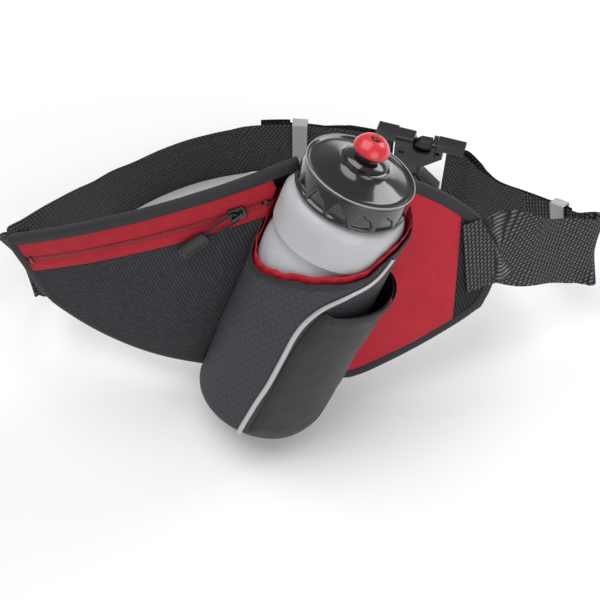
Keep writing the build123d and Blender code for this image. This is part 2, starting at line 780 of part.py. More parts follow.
upright = Vector(0, 0, 1)
left_run = [
    (on_panel(-118, 58, strap_depth), wing_up),
    (on_panel(-135, 58, strap_depth), wing_up),
    (on_panel(-151.5, 58, strap_depth), wing_up),
    (Vector(-178, 49.5, 79.3), leaning(20) - across * 0.25),
    (Vector(-178.5, 54, 77.5), leaning(20) - across * 0.2),
    (Vector(-175, 60, 75), leaning(18) - across * 0.15),
    (Vector(-168, 76, 66), leaning(14)),
    (Vector(-157, 97, 50.5), leaning(10)),
    (Vector(-146, 116, 37.5), leaning(6)),
    (Vector(-133.5, 134, 29), leaning(2)),
]
belt_heights = {-37: 25.6, -30: belt_height, -23: belt_height, -16: belt_height, -11: 25.8}
lifted = belt_height + keeper_lift
level_bearings = (-7, -4, -1, 2, 5, 8, 11)
end_heights = {13: lifted + 0.8, 15.5: lifted + 1.7, 18: lifted + 2.6}
for bearing, height in belt_heights.items():
    left_run.append((belt_point(bearing, height), upright))
for bearing in level_bearings:
    left_run.append((belt_point(bearing, lifted), upright))
for bearing, height in end_heights.items():
    left_run.append((belt_point(bearing, height), upright))
left_run.append((in_buckle(-slot_outer + 0.5, layer_offset), upright))
with BuildPart() as strap_left:
    ribbon(left_run, end_way=buckle_dir)
export(strap_left, "strap_left")


def turn_round_bar(side):
    """The half turn of the webbing round a bar of the buckle, from the near side to the far side."""
    course = []
    for turn in range(0, 181, 30):
        reach = layer_offset * sin(radians(turn))
        x = side * (slot_outer - 0.5 - reach)
        course.append((in_buckle(x, layer_offset * cos(radians(turn))), upright))
    return course


tail_extra = {18: 2 * layer_offset, 16: 4.4, 14: 3.3, 12.5: 2.6}
tail_level = {18: lifted + 2.6, 16: lifted + 1.9, 14: lifted + 1.2, 12.5: lifted + 0.6}
left_tail = turn_round_bar(-1)
for bearing in tail_extra:
    left_tail.append((belt_point(bearing, tail_level[bearing], tail_extra[bearing]), upright))
for bearing in (11, 8, 5, 2, -1, -3.8):
    left_tail.append((belt_point(bearing, lifted, layer_pitch), upright))
with BuildPart() as strap_left_tail:
    ribbon(left_tail, start_way=buckle_dir)
export(strap_left_tail, "strap_left_tail")

block_thickness = 3.6
block_extra = layer_pitch + half_webbing + layer_gap + block_thickness / 2
with BuildPart() as tail_end_left:
    ribbon([(belt_point(bearing, lifted, block_extra), upright) for bearing in (-4.4, -2, 0.5, 2.5)],
           thickness=block_thickness)
export(tail_end_left, "tail_end_left")

keeper_bearing = 4.9
with BuildPart() as keeper_left:
    keeper_arc = degrees(keeper_length / belt_radius)
    start = radians(keeper_bearing - keeper_arc / 2)
    section_x = Vector(sin(start), cos(start), 0)
    keeper_plane = Plane(origin=belt_middle + Vector(0, 0, lifted), x_dir=section_x,
                         z_dir=section_x.cross(upright))
    inner_low = belt_radius - half_webbing - keeper_gap
    inner_high = belt_radius + layer_pitch + half_webbing + keeper_gap
    inner_half = webbing_width / 2 + keeper_gap
    with BuildSketch(keeper_plane) as keeper_section:
        with Locations(((inner_low + inner_high) / 2, 0)):
            Rectangle(inner_high - inner_low + 2 * keeper_wall, 2 * (inner_half + keeper_wall))
            Rectangle(inner_high - inner_low, 2 * inner_half, mode=Mode.SUBTRACT)
    revolve(keeper_section.sketch, axis=Axis(belt_middle, -upright), revolution_arc=keeper_arc)
export(keeper_left, "keeper_left")

# The right belt: sewn to the front of the wing, round a bend, and straight back to the buckle.
seam_high = on_panel(116.6, -10.7, 0)
seam_low = on_panel(102, -56.3, 0)
seam_way = (seam_high - seam_low).normalized()
front_depth = -(binding_thickness + 0.4 + half_webbing)
straight_start = Vector(184, 71.5, 57.6)
straight_end = Vector(139, 116.5, 33.5)
straight_width = leaning(10)
straight_way = (straight_end - straight_start).normalized()
tail_width = (straight_width - straight_way * straight_width.dot(straight_way)).normalized()
tail_side = straight_way.cross(tail_width) * layer_pitch
keeper_share = 0.19          # how far down the straight stretch the right keeper sits
tail_share = 0.05
front_run = [
    (on_panel(109.3, -33.5, front_depth), seam_way),
    (on_panel(118.5, -36.3, front_depth), seam_way),
    (on_panel(127.4, -39.3, front_depth), seam_way),
    (on_panel(131.5, -40.6, front_depth), seam_way),
    (Vector(148, 43.5, 84.3), leaning(19)),
    (Vector(168, 50.5, 77), leaning(17)),
    (Vector(184, 54, 71.3), leaning(16)),
    (Vector(191.2, 56.2, 68.8), leaning(15)),
    (Vector(193.8, 59.6, 66.5), leaning(14)),
    (Vector(192.6, 63.2, 63.7), leaning(13)),
    (Vector(188.9, 67, 60.5), leaning(11)),
    (straight_start, straight_width),
]
bend_share = 0.62


def on_straight(share):
    """A point of the straight stretch of the right belt."""
    return straight_start + (straight_end - straight_start) * share


with BuildPart() as strap_right:
    ribbon(front_run + [(on_straight(bend_share), straight_width)], end_way=straight_way)
export(strap_right, "strap_right")

back_run = [
    (straight_end, straight_width),
    (Vector(129, 129.6, 31.3), leaning(5)),
    (Vector(122, 140.6, buckle_level), upright),
    (in_buckle(buckle_half + 1.5, layer_offset), upright),
    (in_buckle(buckle_half - 4, layer_offset), upright),
    (in_buckle(slot_outer - 0.5, layer_offset), upright),
]
with BuildPart() as strap_right_end:
    buckle_run = [(on_straight(bend_share), straight_width)] + back_run
    ribbon(buckle_run, start_way=straight_way, end_way=-buckle_dir)
export(strap_right_end, "strap_right_end")

tail_run = [
    (in_buckle(buckle_half - 4, -layer_offset), upright),
    (in_buckle(buckle_half + 3, -layer_offset), upright),
]
bend_in = [
    (Vector(127.4, 142.2, buckle_level), upright),
    (Vector(131.6, 131.6, 31.5), leaning(5)),
    (straight_end + tail_side * 1.05, straight_width),
    (on_straight(bend_share) + tail_side, straight_width),
    (on_straight(tail_share) + tail_side, straight_width),
]
with BuildPart() as strap_right_tail:
    ribbon(turn_round_bar(1) + tail_run + bend_in, start_way=-buckle_dir)
export(strap_right_tail, "strap_right_tail")

with BuildPart() as keeper_right:
    keeper_middle = on_straight(keeper_share) + tail_side / 2
    keeper_depth = layer_pitch + webbing_thickness + 2 * keeper_gap
    with BuildSketch(Plane(origin=keeper_middle - straight_way * keeper_length / 2, x_dir=tail_width,
                           z_dir=straight_way)):
        Rectangle(2 * (inner_half + keeper_wall), keeper_depth + 2 * keeper_wall)
        Rectangle(2 * inner_half, keeper_depth, mode=Mode.SUBTRACT)
    extrude(amount=keeper_length)
export(keeper_right, "keeper_right")
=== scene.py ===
import math

import bmesh
import bpy
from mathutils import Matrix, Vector, noise


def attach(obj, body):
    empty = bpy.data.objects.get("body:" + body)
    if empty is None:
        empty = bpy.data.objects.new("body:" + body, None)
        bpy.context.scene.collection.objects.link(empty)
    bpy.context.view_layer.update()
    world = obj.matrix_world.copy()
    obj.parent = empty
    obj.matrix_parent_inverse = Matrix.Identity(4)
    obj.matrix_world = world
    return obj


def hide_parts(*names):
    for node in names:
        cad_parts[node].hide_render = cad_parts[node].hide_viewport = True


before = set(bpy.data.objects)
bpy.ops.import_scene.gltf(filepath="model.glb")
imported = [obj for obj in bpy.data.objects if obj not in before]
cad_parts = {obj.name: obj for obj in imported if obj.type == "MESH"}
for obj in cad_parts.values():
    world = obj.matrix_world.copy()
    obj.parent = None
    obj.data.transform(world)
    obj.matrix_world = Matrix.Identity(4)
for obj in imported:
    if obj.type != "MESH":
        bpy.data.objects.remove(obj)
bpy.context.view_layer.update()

# ---- Camera ----
# A short telephoto view from above the front of the pack, level from side to side.
lens_length = 72.0
looking_down = 56.0
camera = bpy.data.objects.new("camera", bpy.data.cameras.new("camera"))
camera.data.lens = lens_length
camera.data.sensor_width = 36.0
camera.location = (0.0, -0.409, 0.701)
camera.rotation_euler = (math.radians(90.0 - looking_down), 0.0, 0.0)
bpy.context.scene.collection.objects.link(camera)
bpy.context.scene.camera = camera

# ---- Zip pull cord ----
# A thin limp cord threaded through the slider's bridge, both ends moulded into the pull tab.
# It lies on the pocket, pointing down to the left; the pack's own directions start here.
mm = 0.001
lean, bottle_tilt, wing_tilt = math.radians(14.4), math.radians(19.3), math.radians(22.0)
across = Vector((1.0, 0.0, 0.0))
up_slope = Vector((0.0, math.sin(lean), math.cos(lean)))
outward = Vector((0.0, -math.cos(lean), math.sin(lean)))
bottle_up = across * math.sin(bottle_tilt) + up_slope * math.cos(bottle_tilt)
bottle_right = across * math.cos(bottle_tilt) - up_slope * math.sin(bottle_tilt)
wing_right = across * math.cos(wing_tilt) + up_slope * math.sin(wing_tilt)
wing_up = up_slope * math.cos(wing_tilt) - across * math.sin(wing_tilt)
foot = Vector((-27.470, -19.507, 17.050)) * mm
wing_origin = foot + (across * 15.0 + up_slope * 80.0 - outward * 8.0) * mm


def on_panel(s, a, depth):
    """A point of the bent panel: s to the right and a up it, depth behind its face, in millimetres."""
    radius = 480.0 if s < 0 else 300.0
    turn = math.asin(s / radius)
    run, fall = (radius - depth) * math.sin(turn), radius - (radius - depth) * math.cos(turn)
    return wing_origin + (wing_right * run + wing_up * a - outward * fall) * mm


zip_line = 65.0
slider_out = outward
pull_flat = across * math.cos(math.radians(220.0)) + up_slope * math.sin(math.radians(220.0))
pull_way = pull_flat.normalized()
pull_side = slider_out.cross(pull_way)
bridge_middle = on_panel(0.6, zip_line, 0.0) + slider_out * 3.6 * mm


def in_pull(x, y, z):
    """A point of the pull: x along it from the bridge, y to its side, z off the pack, in millimetres."""
    return bridge_middle + (pull_way * x + pull_side * y + slider_out * z) * mm


cord_width = 1.5 * mm
half_course = [(24, 1.5, -0.95), (16.5, 2.6, -0.9), (8, 2.95, -0.6), (0, 2.6, 0)]
pull_course = half_course + [(x, -y, z) for x, y, z in reversed(half_course)]
cord_line = bpy.data.curves.new("pull_cord", "CURVE")
cord_line.dimensions = "3D"
cord_line.bevel_depth = cord_width / 2
cord_line.bevel_resolution = 4
strand = cord_line.splines.new("NURBS")
strand.points.add(len(pull_course) - 1)
for control, place in zip(strand.points, pull_course):
    control.co = (*in_pull(*place), 1.0)
strand.order_u = 3
strand.use_endpoint_u = True
strand.resolution_u = 12
pull_cord = bpy.data.objects.new("pull_cord", cord_line)
bpy.context.scene.collection.objects.link(pull_cord)


def add_node(finish, kind, inputs=(), **settings):
    """A node in a finish; an input given a socket is linked, any other is set."""
    made = finish.node_tree.nodes.new(kind)
    for name, value in settings.items():
        setattr(made, name, value)
    for name, value in dict(inputs).items():
        if isinstance(value, bpy.types.NodeSocket):
            finish.node_tree.links.new(value, made.inputs[name])
        else:
            made.inputs[name].default_value = value
    return made


def new_finish(name, colour, roughness, **sockets):
    """A finish with its shader set; its patterns are added after."""
    finish = bpy.data.materials.new(name)
    finish.use_nodes = True
    shader = finish.node_tree.nodes["Principled BSDF"]
    shader.inputs["Base Color"].default_value = (*colour, 1.0)
    shader.inputs["Roughness"].default_value = roughness
    for socket, value in sockets.items():
        shader.inputs[socket.replace("_", " ")].default_value = value
    return finish


def join_shader(finish, socket, source):
    """Link a source into the finish's shader."""
    finish.node_tree.links.new(source, finish.node_tree.nodes["Principled BSDF"].inputs[socket])


def mix_colour(finish, share, first, second):
    """The colour between two, by a share."""
    mixed = add_node(finish, "ShaderNodeMix", data_type="RGBA")
    for place, value in ((0, share), (6, first), (7, second)):
        if isinstance(value, bpy.types.NodeSocket):
            finish.node_tree.links.new(value, mixed.inputs[place])
        else:
            mixed.inputs[place].default_value = (*value, 1.0) if place else value
    return mixed.outputs[2]


def arithmetic(finish, operation, first, second=0.0, third=0.0):
    """One Math node."""
    made = add_node(finish, "ShaderNodeMath", operation=operation)
    for place, value in enumerate((first, second, third)):
        if isinstance(value, bpy.types.NodeSocket):
            finish.node_tree.links.new(value, made.inputs[place])
        else:
            made.inputs[place].default_value = value
    return made.outputs[0]


def bands(finish, source, pitch, direction, unevenness=0.0):
    """Soft bands across a direction of the source, one every pitch metres."""
    return add_node(finish, "ShaderNodeTexWave",
                    {"Vector": source, "Scale": 0.314 / pitch, "Distortion": unevenness},
                    bands_direction=direction).outputs["Fac"]


def speckle(finish, source, size, detail=2.0):
    """Soft random mottling with spots of about that size."""
    return add_node(finish, "ShaderNodeTexNoise",
                    {"Vector": source, "Scale": 1.0 / size, "Detail": detail}).outputs["Fac"]


def raise_by(finish, height, depth, strength=1.0):
    """Bump the surface by a height pattern of that depth in metres."""
    bump = add_node(finish, "ShaderNodeBump", {"Height": height, "Distance": depth, "Strength": strength})
    join_shader(finish, "Normal", bump.outputs["Normal"])


def place_of(finish, kind="Object"):
    """The surface's place: object coordinates, or the cut of the cloth with kind UV."""
    return add_node(finish, "ShaderNodeTexCoord").outputs[kind]


cord_finish = new_finish("braided_cord", (0.018, 0.018, 0.02), 0.7)
raise_by(cord_finish, bands(cord_finish, place_of(cord_finish), 0.7 * mm, "DIAGONAL"), 0.1 * mm)
cord_line.materials.append(cord_finish)
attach(pull_cord, "pull")
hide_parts("zip_pull_cord")

# ---- Pull tab ----
# Soft black rubber moulded over the ends of the cord: an oblong with rounded ends
# and a raised rim round a plain sunk face.


def finish_piece(mesh, name, body, nodes, finish, sharp=None):
    """Turn a bmesh into a shaded object that rides on a body and stands for CAD nodes."""
    data = bpy.data.meshes.new(name)
    mesh.to_mesh(data)
    mesh.free()
    data.materials.append(finish)
    piece = bpy.data.objects.new(name, data)
    bpy.context.scene.collection.objects.link(piece)
    data.shade_smooth()
    if sharp:
        data.set_sharp_from_angle(angle=math.radians(sharp))
    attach(piece, body)
    if nodes:
        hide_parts(*nodes)
    return piece


tab_radius, tab_straight, tab_thickness, tab_rim = 4.25, 6.2, 3.2, 1.1
tab_start = 24.0            # where the cord enters it, down from the bridge
tab = bmesh.new()
bmesh.ops.create_circle(tab, cap_ends=True, segments=48, radius=tab_radius)
for point in tab.verts:
    ease = math.copysign(abs(point.co.x / tab_radius) ** 0.7 * tab_radius, point.co.x)
    point.co = Vector((ease + math.copysign(tab_straight, ease)
                       if abs(ease) > 0.3 else 0.0, point.co.y * 0.98, 0.0))
grown = bmesh.ops.extrude_face_region(tab, geom=tab.faces[:])
top_points = [part for part in grown["geom"] if isinstance(part, bmesh.types.BMVert)]
bmesh.ops.translate(tab, verts=top_points, vec=(0, 0, tab_thickness))
tab_top = [face for face in tab.faces if min(corner.co.z for corner in face.verts) > 3.0]
bmesh.ops.inset_region(tab, faces=tab_top, thickness=tab_rim, depth=0.0)
bmesh.ops.inset_region(tab, faces=tab_top, thickness=0.5, depth=-0.6)
bmesh.ops.recalc_face_normals(tab, faces=tab.faces[:])
tab_rims = [edge for edge in tab.edges if len(edge.link_faces) == 2 and edge.calc_face_angle() > 0.5]
bmesh.ops.bevel(tab, geom=tab_rims, offset=0.35, segments=3, affect="EDGES", profile=0.5, material=-1)
for point in tab.verts:
    point.co = in_pull(tab_start + 10.6 + point.co.x, point.co.y, point.co.z - 0.95 - 1.6)
tab_finish = new_finish("pull_rubber", (0.022, 0.022, 0.024), 0.42)
raise_by(tab_finish, speckle(tab_finish, place_of(tab_finish), 0.6 * mm), 0.03 * mm)
pull_tab = finish_piece(tab, "pull_tab", "pull", ["zip_pull_tab"], tab_finish, sharp=50)

# ---- Back panel and wing padding ----
# Foam-backed spacer mesh in one piece behind the pocket and the right wing, curved round the waist,
# swelling backwards in a soft ridge where the bottle holster is let into it.
top_edge, left_tip, right_tip = 84.0, -150.0, 128.6


def arc_height(first, middle, last, s, upper):
    """Height at s of the circle through three points of the outline."""
    (ax, ay), (bx, by), (cx, cy) = first, middle, last
    twice = 2 * (ax * (by - cy) + bx * (cy - ay) + cx * (ay - by))
    a2, b2, c2 = ax * ax + ay * ay, bx * bx + by * by, cx * cx + cy * cy
    ox = (a2 * (by - cy) + b2 * (cy - ay) + c2 * (ay - by)) / twice
    oy = (a2 * (cx - bx) + b2 * (ax - cx) + c2 * (bx - ax)) / twice
    reach = math.sqrt(max((ax - ox) ** 2 + (ay - oy) ** 2 - (s - ox) ** 2, 0.0))
    return oy + reach if upper else oy - reach


def panel_top(s):
    """The pack's upper edge at s."""
    if s < 30:
        return top_edge
    if s < 127.9:
        return arc_height((30, 84), (93, 43), (128, -18), s, True)
    return -18.0 - (s - 127.9) * 10


def panel_foot(s):
    """The pack's lower edge at s."""
    if s < -80:
        return arc_height((-80, -40), (-125, -7), (-150, 33), s, False)
    if s < 14:
        return -40.0 - (s + 80) * 48.0 / 94.0
    if s < 108:
        return -88.0 + (s - 14) * 10.5 / 94.0
    return arc_height((128, -18), (126, -52), (108, -77.5), min(s, 128.3), False)


def spread_cloth(columns, rows, place):
    """A grid of cloth: place(u, v) gives its cut in metres and its point, both from shares 0 to 1."""
    cloth = bmesh.new()
    bmesh.ops.create_grid(cloth, x_segments=columns, y_segments=rows, size=0.5)
    cut = cloth.loops.layers.uv.new("cut")
    for face in cloth.faces:
        for corner in face.loops:
            flat, _ = place(corner.vert.co.x + 0.5, corner.vert.co.y + 0.5)
            corner[cut].uv = flat
    for point in cloth.verts:
        point.co = place(point.co.x + 0.5, point.co.y + 0.5)[1]
    return cloth


def crumple(point, size, depth, seed=0.0):
    """Soft uneven height, depth millimetres either way, with dents of that size in metres."""
    return noise.noise((point + Vector((seed, seed * 0.7, 0.0))) / size) * depth


def across_holster(point):
    """Distance to the right of the bottle's axis, in millimetres."""
    return (point - foot).dot(bottle_right) / mm


def swell(point):
    """How far the back is pushed out by the holster, in millimetres."""
    off = abs(across_holster(point)) / 62.0
    height = (point - foot).dot(bottle_up) / mm
    fade = max(0.0, min(1.0, (172.0 - height) / 50.0))
    ridge = max(0.0, 1.0 - off * off)
    return 27.0 * ridge * ridge * (3 - 2 * fade) * fade * fade


def back_place(u, v):
    s = left_tip + (right_tip - 0.8 - left_tip) * (1 - (1 - u) ** 1.25)
    low, high = panel_foot(s), panel_top(s)
    a = low + (high - low) * v
    flat = on_panel(s, a, 7.0)
    soft = 1.6 * math.sin(math.pi * u) * math.sin(math.pi * v) - 0.5
    rim = min(1.0, min(v, 1 - v) * 9, min(u, 1 - u) * 12)
    depth = 4.2 + rim * (2.9 + swell(flat) + soft + crumple(flat, 0.03, 0.7))
    return (s * mm, a * mm), on_panel(s, a, depth)


back = spread_cloth(120, 70, back_place)
bmesh.ops.reverse_faces(back, faces=back.faces[:])
bmesh.ops.solidify(back, geom=back.faces[:], thickness=1.2 * mm)
back_finish = new_finish("spacer_mesh", (0.03, 0.03, 0.034), 0.9, Specular_IOR_Level=0.25)
cut_of = place_of(back_finish, "UV")
holes = add_node(back_finish, "ShaderNodeTexVoronoi",
                 {"Vector": cut_of, "Scale": 1 / 0.0026, "Randomness": 0.12})
open_mesh = arithmetic(back_finish, "SMOOTH_MIN", holes.outputs["Distance"], 0.45, 0.1)
join_shader(back_finish, "Base Color", mix_colour(back_finish, open_mesh, (0.006, 0.006, 0.007),
                                                  (0.045, 0.044, 0.050)))
raise_by(back_finish, open_mesh, 0.8 * mm)
back_piece = finish_piece(back, "back_panel_mesh", "pack", ["back_panel"], back_finish)

holster_edge = 39.3
soft_black = new_finish("foam_backed_cloth", (0.016, 0.016, 0.018), 0.85, Specular_IOR_Level=0.25)
raise_by(soft_black, speckle(soft_black, place_of(soft_black), 1.2 * mm), 0.15 * mm)


def wing_place(front_depth, left, right, low_at, high_at, puff, flip=1.0):
    """A layer of the pack between two places and two heights, puffed out in its middle."""

    def place(u, v):
        s = left + (right - left) * u
        low, high = low_at(s), high_at(s)
        a = low + (high - low) * v
        flat = on_panel(s, a, front_depth)
        crown = (math.sin(math.pi * u) * math.sin(math.pi * v)) ** 0.6 if 0 < u < 1 and 0 < v < 1 else 0.0
        lift = puff * crown + crown * crumple(flat, 0.022, 1.1) + crown * crumple(flat, 0.008, 0.25, 3.0)
        return (s * mm, a * mm), on_panel(s, a, front_depth - lift * flip)

    return place


def trim_at_holster(cloth, side, reach=None):
    """Cut away the part of a layer that would run into the holster."""
    bmesh.ops.bisect_plane(cloth, geom=cloth.verts[:] + cloth.edges[:] + cloth.faces[:],
                           plane_co=foot + bottle_right * side * (reach or holster_edge) * mm,
                           plane_no=bottle_right * -side, clear_outer=True)


filling = spread_cloth(70, 60, wing_place(1.6, -20.0, 127.4, lambda s: panel_foot(s) + 0.5,
                                          lambda s: panel_top(s) - 0.5, 0.0))
trim_at_holster(filling, 1)
bmesh.ops.solidify(filling, geom=filling.faces[:], thickness=2.4 * mm)
filling_piece = finish_piece(filling, "wing_filling", "pack", ["wing_padding"], soft_black,
                             sharp=40)

# ---- Zipped pocket ----
# The left wing's pocket: a panel of ribbed stretch knit that pouts a little, below a red zip strip.


pocket = spread_cloth(110, 60, wing_place(0.0, left_tip + 1.5, 42.0, panel_foot, lambda s: zip_line - 8.3,
                                          2.8))
trim_at_holster(pocket, -1)
knit = new_finish("ribbed_knit", (0.03, 0.03, 0.034), 0.82, Specular_IOR_Level=0.25)
cut_of = place_of(knit, "UV")
ribs = bands(knit, cut_of, 2.2 * mm, "X")
loops_of_yarn = arithmetic(knit, "MULTIPLY", ribs, bands(knit, cut_of, 1.5 * mm, "Y"))
shade = arithmetic(knit, "MULTIPLY", loops_of_yarn, speckle(knit, cut_of, 4 * mm))
join_shader(knit, "Base Color", mix_colour(knit, shade, (0.022, 0.021, 0.025), (0.165, 0.158, 0.182)))
raise_by(knit, loops_of_yarn, 0.35 * mm)
pocket_piece = finish_piece(pocket, "pocket_front_knit", "pack", ["pocket_front"], knit)
thicken = pocket_piece.modifiers.new("cloth", "SOLIDIFY")
thicken.thickness = 1.0 * mm

# ---- Zip ----
# Red fine-ribbed tape sewn either side of a dark nylon coil that runs up the wing,
# with black enamelled stops at its ends and a black slider.
tape_red, tape_deep = (0.57, 0.020, 0.040), (0.38, 0.009, 0.020)
zip_red = new_finish("ribbed_red_tape", tape_red, 0.6, Specular_IOR_Level=0.25)
cut_of = place_of(zip_red, "UV")
leaning_cut = add_node(zip_red, "ShaderNodeMapping",
                       {"Vector": cut_of, "Rotation": (0, 0, math.radians(28))}).outputs[0]
fine_ribs = bands(zip_red, leaning_cut, 1.5 * mm, "Y")
join_shader(zip_red, "Base Color", mix_colour(zip_red, arithmetic(zip_red, "MULTIPLY", fine_ribs,
                                                                  speckle(zip_red, cut_of, 9 * mm)),
                                             tape_deep, (0.66, 0.03, 0.05)))
raise_by(zip_red, fine_ribs, 0.25 * mm)


def tape_place(low, high, tilt_in):
    """A strip of zip tape, its inner edge drawn down to the coil."""

    def place(u, v):
        s = left_tip + 2.0 + (26.0 - left_tip) * u
        a = low + (high - low) * v
        near = max(0.0, 1.0 - abs(a - zip_line) / 4.5)
        flat = on_panel(s, a, 0.0)
        wave = crumple(flat, 0.03, 0.5, 8.0)
        return (s * mm, a * mm), on_panel(s, a, -0.5 + near * tilt_in - wave)

    return place


for name, low, high in (("zip_tape_upper", zip_line + 0.5, top_edge - 1.0),
                        ("zip_tape_lower", zip_line - 8.8, zip_line - 0.5)):
    tape = spread_cloth(90, 10, tape_place(low, high, 1.1))
    trim_at_holster(tape, -1, 38.6)
    tape_piece = finish_piece(tape, name + "_cloth", "pack", [name], zip_red)
    thicken = tape_piece.modifiers.new("cloth", "SOLIDIFY")
    thicken.thickness = 0.5 * mm

coil = bmesh.new()
tooth_pitch = 1.35
for number in range(117):
    s = -141.5 + number * tooth_pitch
    for side in (-1, 1):
        before = len(coil.verts)
        bmesh.ops.create_cube(coil, size=1.0)
        for point in list(coil.verts)[before:]:
            local = point.co
            point.co = on_panel(s + local.x * 0.75 + side * 0.3, zip_line + side * 0.75 + local.y * 1.9,
                                0.25 - local.z * 0.9)
coil_finish = new_finish("nylon_coil", (0.30, 0.010, 0.018), 0.4)
raise_by(coil_finish, speckle(coil_finish, place_of(coil_finish), 0.5 * mm), 0.05 * mm)
finish_piece(coil, "zip_coil_teeth", "pack", ["zip_coil"], coil_finish, sharp=35)


def softened_copy(node, width, segments=2, angle=0.5):
    """A copy of a CAD node's mesh, merged, with its sharp edges rounded off."""
    copy = bmesh.new()
    copy.from_mesh(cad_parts[node].data)
    bmesh.ops.remove_doubles(copy, verts=copy.verts[:], dist=0.00001)
    bmesh.ops.dissolve_limit(copy, angle_limit=math.radians(1.5), verts=copy.verts[:], edges=copy.edges[:])
    sharp = [edge for edge in copy.edges if len(edge.link_faces) == 2 and edge.calc_face_angle() > angle]
    bmesh.ops.bevel(copy, geom=sharp, offset=width, segments=segments, affect="EDGES", profile=0.5,
                    material=-1,
                    clamp_overlap=True)
    return copy


enamel = new_finish("black_enamel", (0.012, 0.012, 0.013), 0.22, Coat_Weight=0.5)
raise_by(enamel, speckle(enamel, place_of(enamel), 2 * mm), 0.02 * mm)
finish_piece(softened_copy("zip_slider", 0.25 * mm), "zip_slider_enamelled", "slider", ["zip_slider"],
             enamel, sharp=40)
finish_piece(softened_copy("zip_stops", 0.2 * mm), "zip_stops_enamelled", "pack", ["zip_stops"],
             enamel, sharp=40)

# ---- Red side panel and elastic tab ----
# Smooth red cloth over the foam of the right wing, and a strip of flecked black elastic at its end.
side_red = new_finish("smooth_red_cloth", (0.42, 0.012, 0.025), 0.6, Specular_IOR_Level=0.25)
cut_of = place_of(side_red, "UV")
fine_weave = arithmetic(side_red, "MULTIPLY", bands(side_red, cut_of, 0.9 * mm, "X"),
                        bands(side_red, cut_of, 0.9 * mm, "Y"))
join_shader(side_red, "Base Color", mix_colour(side_red, speckle(side_red, cut_of, 18 * mm),
                                               (0.42, 0.012, 0.026), (0.57, 0.020, 0.040)))
raise_by(side_red, fine_weave, 0.12 * mm)
side_panel = spread_cloth(70, 60, wing_place(0.0, -20.0, 126.0, lambda s: panel_foot(s) + 0.6,
                                             lambda s: panel_top(s) - 0.6, 1.9))
trim_at_holster(side_panel, 1)
tab_seam = foot + across * 125.5 * mm
bmesh.ops.bisect_plane(side_panel, geom=side_panel.verts[:] + side_panel.edges[:] + side_panel.faces[:],
                       plane_co=tab_seam,
                       plane_no=across, clear_outer=True)
side_piece = finish_piece(side_panel, "red_side_cloth", "pack", ["red_side_panel"], side_red)
thicken = side_piece.modifiers.new("cloth", "SOLIDIFY")
thicken.thickness = 1.0 * mm

end_strip = spread_cloth(60, 50, wing_place(0.0, 60.0, 127.9, lambda s: panel_foot(s) + 0.3,
                                            lambda s: panel_top(s) - 0.3, 0.0))
bmesh.ops.bisect_plane(end_strip, geom=end_strip.verts[:] + end_strip.edges[:] + end_strip.faces[:],
                       plane_co=tab_seam,
                       plane_no=-across, clear_outer=True)
elastic = new_finish("flecked_elastic", (0.03, 0.03, 0.033), 0.85, Specular_IOR_Level=0.25)
cut_of = place_of(elastic, "UV")
flecks = arithmetic(elastic, "MULTIPLY", bands(elastic, cut_of, 2.0 * mm, "X"),
                    bands(elastic, cut_of, 1.6 * mm, "Y"))
join_shader(elastic, "Base Color", mix_colour(elastic, flecks, (0.008, 0.008, 0.009), (0.075, 0.075, 0.08)))
raise_by(elastic, flecks, 0.25 * mm)
end_piece = finish_piece(end_strip, "side_tab_elastic", "pack", ["side_tab"], elastic)
thicken = end_piece.modifiers.new("cloth", "SOLIDIFY")
thicken.thickness = 1.0 * mm

# ---- Edge binding ----
# Smooth black tape folded over the raw edge of all the layers and sewn through, front and back.
binding_black = new_finish("woven_edge_tape", (0.022, 0.021, 0.025), 0.6, Specular_IOR_Level=0.35)
cut_of = place_of(binding_black, "UV")
cross_ribs = bands(binding_black, cut_of, 1.1 * mm, "X")
join_shader(binding_black, "Base Color", mix_colour(binding_black, cross_ribs, (0.014, 0.014, 0.017),
                                                    (0.038, 0.037, 0.043)))
raise_by(binding_black, cross_ribs, 0.18 * mm)

outline = [(s, top_edge) for s in range(46, -148, -6)] + [(-150.0, 83.0), (-150.0, 66.0), (-150.0, 50.0)]
outline += [(s, panel_foot(s)) for s in (-149.6, -146, -141, -135, -128, -120, -111, -102, -92, -82, -70,
                                         -56, -42, -28, -14)]
right_edge = [(s, panel_top(s)) for s in (52, 62, 72, 82, 92, 101, 109, 116, 121, 125, 127.6)]
right_edge += [(128.7, -28.0), (128.0, -40.0), (126.0, -52.0), (122.0, -62.0), (115.0, -71.5),
               (106.0, -77.6)]
right_edge += [(s, panel_foot(s)) for s in (92, 76, 60, 44, 30, 18, 8)]


